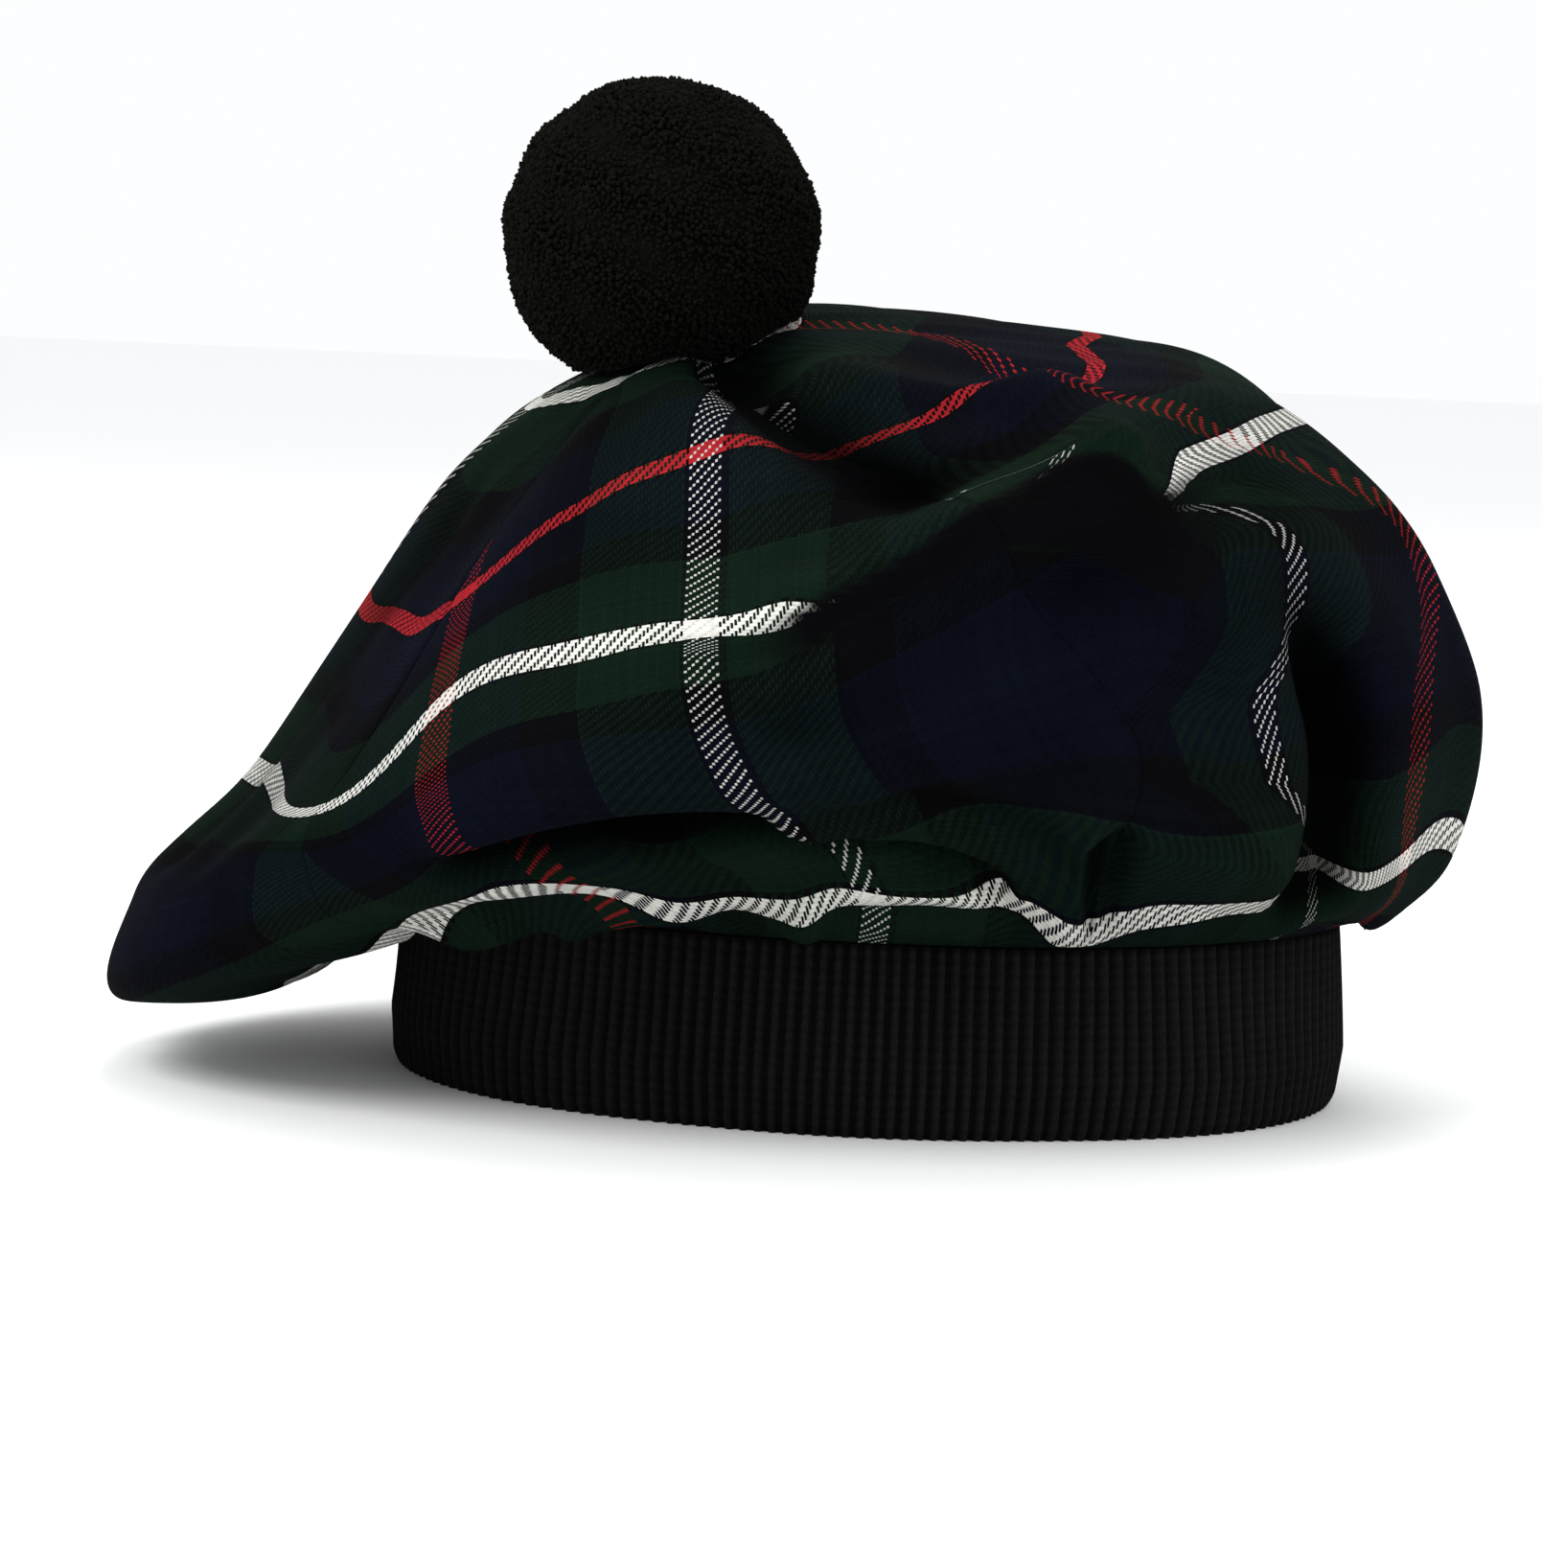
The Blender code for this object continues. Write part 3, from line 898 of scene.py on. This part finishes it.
        near_seam = book.math("SMOOTH_MIN", book.math("DIVIDE", edge, self.seam_width), 1.0, 0.3)
        painted_shade, tuck, _ = book.attribute("painted_shade")
        for share in (
            book.math("MULTIPLY_ADD", both, self.yarn_swing, 1.0 - self.yarn_swing),
            book.grain(self.nap),
            book.grain(self.wear),
            book.math("MULTIPLY_ADD", near_seam, self.seam_dark, 1.0 - self.seam_dark),
            # Painted shade: darker the deeper a place lies in a fold's hollow
            book.math("MULTIPLY_ADD", painted_shade, -self.painted_fold_shade, 1.0),
        ):
            colour = book.darken(colour, share)
        # Painted shade: black where the cloth goes out of sight in the tuck behind the ridge
        colour = book.mix(tuck, colour, (*self.black, 1.0))
        book.link(colour, book.shader.inputs["Base Color"])
        rounds = []
        for off, on_top in ((warp_off, lifted), (weft_off, book.math("SUBTRACT", 1.0, lifted))):
            fall = book.math("POWER", book.math("MULTIPLY", off, 2.0), 2.0)
            rounds.append(book.math("MULTIPLY", on_top, book.math("SUBTRACT", 1.0, fall)))
        book.bump(book.math("ADD", *rounds), self.yarn_relief)
        book.bump(book.noise(self.fuzz_scale, 3.0), self.fuzz_relief)
        book.wool(0.92, self.sheen, self.hair)
        return book.material


@dataclass(frozen=True)
class RibKnitWool:
    """Black rib knit: stitch size in metres, tone, painted shade in its rib grooves and between its stitch
    loops, and wear.
    """

    stitch: float = 0.0024
    tone: tuple = (0.0074, 0.0069, 0.0069)
    sheen: float = 0.010
    slant: float = 0.0020
    rib_shade_swing: float = 0.50
    rib_shade_lowest: float = 0.58
    loop_shade_swing: float = 0.20
    loop_shade_lowest: float = 0.86
    fuzz: Grain = Grain(2300.0, 3.0, 1.1, 0.45)
    wear: Grain = Grain(35.0, 3.0, 0.5, 0.75)
    loop_relief: Relief = Relief(0.00020, 0.6)
    fuzz_relief: Relief = Relief(0.00025, 0.5)
    hair: tuple = (0.8, 0.78, 0.76)

    def dress(self) -> Material:
        """Makes the knit's material.

        Returns:
            The material, which reads the mesh's "knit" places: rib count, height and ridge share.
        """
        book = NodeBook("rib_knit_wool")
        rib, up, ridge = book.attribute("knit")
        across = book.math("ABSOLUTE", book.math("SUBTRACT", book.math("FRACT", rib), 0.5))
        slant = book.math("MULTIPLY_ADD", across, self.slant, up)
        turn = book.math("MULTIPLY", book.math("DIVIDE", slant, self.stitch), 2 * math.pi)
        loops = book.math("MULTIPLY_ADD", book.math("SINE", turn), 0.5, 0.5)
        fuzz = book.noise(self.fuzz.scale, self.fuzz.detail)
        # Painted shade: darker down the grooves between ribs and between stitch loops
        shade = book.math("MULTIPLY_ADD", ridge, self.rib_shade_swing, self.rib_shade_lowest)
        for share in (
            book.math("MULTIPLY_ADD", loops, self.loop_shade_swing, self.loop_shade_lowest),
            book.math("MULTIPLY_ADD", fuzz, self.fuzz.swing, self.fuzz.lowest),
            book.grain(self.wear),
        ):
            shade = book.math("MULTIPLY", shade, share)
        book.link(book.darken((*self.tone, 1.0), shade), book.shader.inputs["Base Color"])
        book.bump(loops, self.loop_relief)
        book.bump(fuzz, self.fuzz_relief)
        book.wool(0.95, self.sheen, self.hair)
        return book.material


@dataclass(frozen=True)
class PompomWool:
    """Trimmed wool ends: a shaded tone painted at the roots and a lit tone at the tips, and their fuzz."""

    tip: tuple = (0.0048, 0.0047, 0.0039)
    root: tuple = (0.0024, 0.0024, 0.0021)
    sheen: float = 0.010
    own_swing: float = 0.5
    own_lowest: float = 0.75
    fuzz: Grain = Grain(2100.0, 3.0, 1.0, 0.50)
    relief_scale: float = 1700.0
    relief: Relief = Relief(0.00030, 0.6)
    hair: tuple = (0.80, 0.79, 0.70)

    def dress(self) -> Material:
        """Makes the pompom's material.

        Returns:
            The material, which reads the mesh's tuft places: height on the tuft, which sets its painted
            shade, and its own tone.
        """
        book = NodeBook("pompom_wool")
        height, own, _ = book.attribute("tuft")
        # Painted light and shade: roots in the shaded tone, tips in the lit tone
        colour = book.mix(height, (*self.root, 1.0), (*self.tip, 1.0))
        own = book.math("MULTIPLY_ADD", own, self.own_swing, self.own_lowest)
        shade = book.math("MULTIPLY", own, book.grain(self.fuzz))
        book.link(book.darken(colour, shade), book.shader.inputs["Base Color"])
        book.bump(book.noise(self.relief_scale, 3.0), self.relief)
        book.wool(0.95, self.sheen, self.hair)
        return book.material


def mesh_object(name: str, verts: Array, faces: list, material: Material) -> Object:
    """Makes a smooth shaded object.

    Args:
        name: the piece's name.
        verts: rows of x, y, z in metres.
        faces: lists of vertex numbers.
        material: its finish.

    Returns:
        The object, already in the scene.
    """
    mesh = bpy.data.meshes.new(name)
    mesh.from_pydata(verts.tolist(), [], faces)
    mesh.materials.append(material)
    mesh.shade_smooth()
    made = bpy.data.objects.new(name, mesh)
    bpy.context.scene.collection.objects.link(made)
    return made


def store(piece: Object, name: str, values: Array) -> None:
    """Keeps three numbers for every vertex of a piece, for its material to read."""
    layer = piece.data.attributes.new(name, "FLOAT_VECTOR", "POINT")
    layer.data.foreach_set("vector", np.ascontiguousarray(values, dtype=np.float32).ravel())


def grid_faces(rows: int, columns: int, closed: bool = False) -> list:
    """Quads of a grid of points.

    Args:
        rows: points down.
        columns: points across.
        closed: whether the last column joins the first.

    Returns:
        Lists of four vertex numbers.
    """
    faces = []
    for i in range(rows - 1):
        for j in range(columns if closed else columns - 1):
            n = (j + 1) % columns
            faces.append((i * columns + j, (i + 1) * columns + j, (i + 1) * columns + n, i * columns + n))
    return faces


@dataclass
class Crown:
    """The four sewn gores."""

    form: CrownForm
    offset: Array
    columns: int = 150
    rows: int = 190
    apex_hole: float = 0.006
    seam_gap: float = 0.00006
    seam_dip: float = 0.0005
    seam_reach: float = 0.0016
    even_from: float = 0.058
    point_crowd: float = 0.35
    hide_from: float = 0.50
    hide_span: float = 0.05
    # Fold depth at which the painted fold shade is full
    fold_shade_depth: float = 0.006
    wall_share: float = 0.8

    def along_seam(self, azimuths: tuple, runs: Array) -> Array:
        """Azimuth of a seam at each run."""
        return hermite(SEAM_RUNS, np.array(azimuths), runs)

    def across_cloth(self, arc: Array, fullness: Array, past_share: float) -> Array:
        """Distance across the flat cut from the gore's own upright line.

        Args:
            arc: distance across the shaped cloth, rows down and places across.
            fullness: flat cloth to shaped cloth near the line, one for each row.
            past_share: share of that fullness past the line.

        Returns:
            Distances in metres, in the same rows.
        """
        full = np.where(arc > 0.0, fullness * past_share, fullness)
        flat = np.abs(arc) * full
        far = self.even_from + (np.abs(arc) - self.even_from / full) * np.minimum(full, 1.0)
        return np.sign(arc) * np.where(flat <= self.even_from, flat, far)

    def build_gore(self, gore: Gore, material: Material) -> Object:
        """Makes one gore with the place of every point on its flat cut.

        Args:
            gore: which one.
            material: the tartan.

        Returns:
            The gore's object.
        """
        runs = np.linspace(self.apex_hole / self.form.cloth_run, 1.0, self.rows)
        edges = 0.5 - 0.5 * np.cos(np.linspace(0.0, np.pi, self.columns))
        shares = (1.0 - self.point_crowd) * np.linspace(0.0, 1.0, self.columns) + self.point_crowd * edges
        start = self.along_seam(gore.start, runs)
        angles = start[:, None] + (self.along_seam(gore.end, runs) - start)[:, None] * shares
        azimuth = angles.ravel()
        run = np.repeat(runs, self.columns)
        smooth = self.form.smooth(azimuth, run).reshape(self.rows, self.columns, 3)
        steps = np.linalg.norm(np.diff(smooth, axis=1), axis=2)
        along = np.concatenate([np.zeros((self.rows, 1)), np.cumsum(steps, axis=1)], axis=1)
        knots, path, fullness = np.array(gore.line).T
        path = hermite(knots, path, runs)
        full = np.interp(runs, knots, fullness)[:, None]
        zero = np.array([np.interp(path[i], angles[i], along[i]) for i in range(self.rows)])
        u = self.across_cloth(along - zero[:, None], full, gore.past_share).ravel()
        v = self.form.cloth_down(azimuth, run)
        seam = np.minimum(along, along[:, -1:] - along).ravel()
        place = self.form.outer(azimuth, run)
        normal = self.form.normal(azimuth, run)
        flatter = ramp(run - self.hide_from, self.hide_span)
        dip = self.seam_dip * (1.0 - flatter) * hump(seam, self.seam_reach)
        place = place - normal * dip[:, None]
        seam = seam + self.seam_reach * flatter
        grid = place.reshape(self.rows, self.columns, 3)
        for column, other in ((0, 1), (-1, -2)):
            inward = grid[:, other] - grid[:, column]
            grid[:, column] += inward / np.linalg.norm(inward, axis=1, keepdims=True) * self.seam_gap / 2
        verts = grid.reshape(-1, 3) + self.offset
        made = mesh_object(gore.panel.value + "_cloth", verts, grid_faces(self.rows, self.columns), material)
        store(made, "cloth", np.stack([u + gore.line_place, v - LINE_CUTS[1] * MM, seam], 1))
        # Painted shade for the tartan: how deep each place lies in a fold's hollow, and how far in the tuck
        # behind the ridge
        painted_shade = ramp(-self.form.fold_height(azimuth, run), self.fold_shade_depth)
        store(made, "painted_shade", np.stack([painted_shade, self.form.tuck_shade(azimuth, run), np.zeros(len(run))], 1))
        wall = made.modifiers.new("wall", "SOLIDIFY")
        wall.thickness = self.form.cloth_wall * self.wall_share
        wall.offset = -1.0
        return made

    def build(self, material: Material) -> None:
        """Makes and declares every gore.

        Args:
            material: the tartan.
        """
        for gore in GORES:
            piece = self.build_gore(gore, material)
            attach(piece, "root")
            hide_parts(gore.panel.value)
            log.info("%s: %d faces", piece.name, len(piece.data.polygons))


@dataclass
class KnitBand:
    """The rib knit headband."""

    form: CrownForm
    offset: Array
    flat_length: float = 0.561
    ribs: int = 168
    points_a_rib: int = 6
    rib_depth: float = 0.0013
    roll: float = 0.0024
    outer_rows: int = 30
    inner_rows: int = 10
    face_in: float = 0.0008
    wave: float = 0.0004
    crest: float = 0.4
    inner_rib: float = 0.3
    top_gap: float = 0.0002

    def level(self, up: float, outside: bool) -> tuple:
        """One level of the band.

        Args:
            up: height in metres.
            outside: whether it is on the outer face.

        Returns:
            The places, and for each the rib count, the height and how far up its ridge it is.
        """
        count = self.ribs * self.points_a_rib
        turn = np.arange(count) / count
        azimuth = FULL_TURN * turn
        ribs = turn * self.ribs
        ridge = np.clip(np.cos(2 * np.pi * ribs) * 0.9 + 0.45, 0.0, 1.0) ** 0.7
        share = up / self.form.band_height
        swell = self.roll * np.interp(share, [0.0, 0.05, 0.30, 0.60, 1.0], [0.1, 0.6, 1.0, 0.6, 0.1])
        base = self.form.band_reach(azimuth) - self.face_in - self.roll
        wave = self.wave * np.sin(7 * np.radians(azimuth) + 3 * share)
        if outside:
            reach = base + swell + wave + (ridge - self.crest) * self.rib_depth
        else:
            reach = base - self.form.knit_wall + (1.0 - ridge) * self.inner_rib * self.rib_depth
        a = np.radians(azimuth)
        places = np.stack([reach * np.cos(a), reach * np.sin(a), np.full(count, up)], 1)
        return places, np.stack([ribs + 0.5, np.full(count, up), ridge], 1)

    def build(self, material: Material) -> None:
        """Args:
            material: the knit.
        """
        lift = self.form.band_height - self.top_gap
        levels = [self.level(float(up), True) for up in np.linspace(lift, 0.0, self.outer_rows)]
        levels += [self.level(float(up), False) for up in np.linspace(0.0, lift, self.inner_rows)]
        places = np.concatenate([level[0] for level in levels])
        marks = np.concatenate([level[1] for level in levels])
        count = self.ribs * self.points_a_rib
        total = len(places)
        faces = [tuple(k % total for k in quad) for quad in grid_faces(len(levels) + 1, count, closed=True)]
        made = mesh_object("band_knit", places + self.offset, faces, material)
        store(made, "knit", marks)
        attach(made, "root")
        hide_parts("band")
        log.info("%s: %d faces", made.name, len(made.data.polygons))


@dataclass
class Toorie:
    """The wool pompom: short trimmed tufts set all over a ball."""

    form: CrownForm
    offset: Array
    diameter: float = 0.066
    shift: float = -0.0076
    lift: float = 0.0200
    tufts: int = 14000
    tuft_length: float = 0.0030
    tuft_radius: float = 0.00058
    sides: int = 4
    seed: int = 11
    trim: float = 0.0006
    lump: float = 0.0008
    stray: float = 0.00022
    turn_stray: float = 0.012
    lean_stray: float = 0.16
    clear: float = 0.0012
    seat_reach: float = 0.004
    core_share: float = 0.55
    core_clear: float = 0.0004

    def seat(self, places: Array) -> Array:
        """Height of the crown's cloth under each place.

        Args:
            places: rows of x, y, z in metres.

        Returns:
            One height for each place, -1 where no cloth is near.
        """
        turns = np.linspace(0.0, FULL_TURN, 121)[:-1]
        runs = np.linspace(0.004, 0.30, 60)
        azimuth = np.tile(turns, len(runs))
        cloth = self.form.outer(azimuth, np.repeat(runs, len(turns)))
        heights = np.empty(len(places))
        for k, place in enumerate(places):
            gap = (cloth[:, 0] - place[0]) ** 2 + (cloth[:, 1] - place[1]) ** 2
            near = np.argpartition(gap, 6)[:6]
            heights[k] = cloth[near, 2].max() if gap[near[0]] < self.seat_reach**2 else -1.0
        return heights

    def directions(self, rng: np.random.Generator) -> Array:
        """Ways out from the ball's middle, evenly spread and a little astray.

        Args:
            rng: source of chance.

        Returns:
            One unit vector a tuft.
        """
        k = np.arange(self.tufts) + 0.5
        polar = np.arccos(1 - 2 * k / self.tufts)
        turn = np.pi * (1 + 5**0.5) * k
        out = np.stack([np.cos(turn) * np.sin(polar), np.sin(turn) * np.sin(polar), np.cos(polar)], 1)
        out += rng.normal(0.0, self.turn_stray, out.shape)
        return out / np.linalg.norm(out, axis=1, keepdims=True)

    def tuft_faces(self, count: int) -> list:
        """Faces of closed tufts, each with two rings of points and a tip.

        Args:
            count: how many tufts.

        Returns:
            Lists of vertex numbers.
        """
        faces = []
        for tuft in range(count):
            base = tuft * (2 * self.sides + 1)
            high = base + self.sides
            for s in range(self.sides):
                n = (s + 1) % self.sides
                faces.append((base + s, base + n, high + n, high + s))
                faces.append((high + s, high + n, high + self.sides))
            faces.append(tuple(base + s for s in range(self.sides - 1, -1, -1)))
        return faces

    def build(self, material: Material) -> None:
        """Args:
            material: the wool.
        """
        rng = np.random.default_rng(self.seed)
        centre = np.array([self.form.apex_x + self.shift, self.form.apex_y, self.form.apex_up + self.lift])
        out = self.directions(rng)
        lumps = 0.5 * np.sin(9 * out[:, 0] + 2) * np.sin(8 * out[:, 1] + 1)
        lumps += 0.5 * np.sin(11 * out[:, 2] + 6 * out[:, 0])
        reach = self.diameter / 2 - self.trim + self.lump * lumps + rng.normal(0.0, self.stray, self.tufts)
        tips = centre + out * reach[:, None]
        keep = tips[:, 2] > self.seat(tips) + self.clear
        out, tips = out[keep], tips[keep]
        count = len(tips)
        lean = out + rng.normal(0.0, self.lean_stray, out.shape)
        lean /= np.linalg.norm(lean, axis=1, keepdims=True)
        helper = np.where(np.abs(lean[:, 2:3]) < 0.9, [[0.0, 0.0, 1.0]], [[1.0, 0.0, 0.0]])
        side = np.cross(lean, helper)
        side /= np.linalg.norm(side, axis=1, keepdims=True)
        other = np.cross(lean, side)
        radius = self.tuft_radius * rng.uniform(0.75, 1.15, count)
        spin = rng.uniform(0.0, 2 * np.pi, count)
        own = rng.uniform(0.0, 1.0, count)
        places, marks = [], []
        # Each ring's height on its tuft, from which the wool paints shade at the root and light at the tip
        for depth, width, high in ((1.0, 0.80, 0.0), (0.14, 1.0, 0.80)):
            for s in range(self.sides):
                a = spin + 2 * np.pi * s / self.sides
                ring = side * np.cos(a)[:, None] + other * np.sin(a)[:, None]
                places.append(tips - lean * depth * self.tuft_length + ring * (radius * width)[:, None])
                marks.append(np.stack([np.full(count, high), own, np.zeros(count)], 1))
        places.append(tips)
        marks.append(np.stack([np.ones(count), own, np.zeros(count)], 1))
        verts = np.stack(places, 1).reshape(-1, 3) + self.offset
        made = mesh_object("toorie_tufts", verts, self.tuft_faces(count), material)
        store(made, "tuft", np.stack(marks, 1).reshape(-1, 3))
        core = self.build_core(centre, material)
        for piece in (made, core):
            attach(piece, "root")
            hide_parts("toorie")
            log.info("%s: %d faces", piece.name, len(piece.data.polygons))

    def build_core(self, centre: Array, material: Material) -> Object:
        """Makes the ball that the tufts grow from, painted dark as shade under the tufts and flattened on
        the crown.

        Args:
            centre: the ball's middle, in metres from the middle of the band.
            material: the wool.

        Returns:
            The ball's object.
        """
        bm = bmesh.new()
        radius = self.diameter / 2 - self.tuft_length * self.core_share
        bmesh.ops.create_icosphere(bm, subdivisions=5, radius=radius)
        places = np.array([tuple(v.co) for v in bm.verts]) + centre
        places[:, 2] = np.maximum(places[:, 2], self.seat(places) + self.core_clear)
        faces = [tuple(v.index for v in f.verts) for f in bm.faces]
        bm.free()
        made = mesh_object("toorie_core", places + self.offset, faces, material)
        # Painted shade: the ball takes a tone near the tufts' shaded roots
        store(made, "tuft", np.tile([0.25, 0.5, 0.0], (len(places), 1)))
        return made


@dataclass
class Studio:
    """Floor, lights and camera."""

    offset: Array
    distance: float = 1.10
    elevation: float = math.radians(9.0)
    roll: float = math.radians(2.7)
    pixels_a_metre: float = 5000.0
    frame_size: tuple = (1609, 1636)
    target_pixel: tuple = (900.0, 1123.0)
    sensor: float = 36.0
    aim_up: float = 0.08
    floor_half: float = 6.0
    floor_tone: tuple = (0.94, 0.94, 0.94, 1.0)
    air_tone: tuple = (0.98, 0.99, 1.0, 1.0)
    air_strength: float = 1.0

    def camera(self) -> None:
        """Places the camera so that the middle of the band falls on its own spot of the frame."""
        forward = np.array([0.0, math.cos(self.elevation), -math.sin(self.elevation)])
        up = np.array([0.0, math.sin(self.elevation), math.cos(self.elevation)])
        right = np.array([1.0, 0.0, 0.0])
        c, s = math.cos(self.roll), math.sin(self.roll)
        image_right = c * right + s * up
        image_up = -s * right + c * up
        focal = self.pixels_a_metre * self.distance
        dx = self.frame_size[0] / 2 - self.target_pixel[0]
        dy = self.target_pixel[1] - self.frame_size[1] / 2
        look = focal * forward + dx * image_right + dy * image_up
        look /= np.linalg.norm(look)
        x = np.cross(look, image_up)
        x /= np.linalg.norm(x)
        y = np.cross(x, look)
        place = self.offset - forward * self.distance
        data = bpy.data.cameras.new("studio_camera")
        data.sensor_width = self.sensor
        data.lens = data.sensor_width * focal / max(self.frame_size)
        cam = bpy.data.objects.new("studio_camera", data)
        rows = [[x[i], y[i], -look[i], place[i]] for i in range(3)] + [[0.0, 0.0, 0.0, 1.0]]
        cam.matrix_world = Matrix(rows)
        bpy.context.scene.collection.objects.link(cam)
        bpy.context.scene.camera = cam

    def light(self, name: str, place: tuple, size: float, power: float) -> None:
        """Adds one soft square light that points at the hat.

        Args:
            name: the light's name.
            place: where it hangs, in metres.
            size: its side in metres.
            power: watts.
        """
        data = bpy.data.lights.new(name, "AREA")
        data.size = size
        data.energy = power
        lamp = bpy.data.objects.new(name, data)
        lamp.location = Vector(place)
        aim = Vector((0.0, 0.0, self.aim_up)) - lamp.location
        lamp.rotation_mode = "QUATERNION"
        lamp.rotation_quaternion = aim.to_track_quat("-Z", "Y")
        bpy.context.scene.collection.objects.link(lamp)

    def build(self) -> None:
        """Sets up the whole studio."""
        self.camera()
        book = NodeBook("studio_floor")
        book.shader.inputs["Base Color"].default_value = self.floor_tone
        book.shader.inputs["Roughness"].default_value = 0.85
        corners = np.array([[-1, -1, 0], [1, -1, 0], [1, 1, 0], [-1, 1, 0]]) * self.floor_half
        mesh_object("studio_floor", corners, [(0, 1, 2, 3)], book.material)
        world = bpy.data.worlds.new("studio_air")
        world.use_nodes = True
        air = world.node_tree.nodes["Background"].inputs
        air["Color"].default_value = self.air_tone
        air["Strength"].default_value = self.air_strength
        bpy.context.scene.world = world
        self.light("key_from_upper_left", (-0.9, -1.0, 1.3), 0.9, 20.0)
        self.light("fill_from_right", (1.3, -0.8, 0.9), 1.2, 5.0)
        self.light("top_from_behind", (0.2, 0.9, 1.4), 1.0, 12.0)
        bpy.context.scene.view_settings.view_transform = "Standard"
        log.info("studio ready")


def main() -> None:
    """Builds the studio and every piece."""
    logging.basicConfig(level=logging.INFO, format="%(name)s: %(message)s")
    low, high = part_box("band")
    offset = np.array([(low[0] + high[0]) / 2, (low[1] + high[1]) / 2, 0.0])
    form = CrownForm()
    Studio(offset).build()
    Crown(form, offset).build(TartanWool().dress())
    KnitBand(form, offset).build(RibKnitWool().dress())
    Toorie(form, offset).build(PompomWool().dress())


if __name__ == "__main__":
    main()
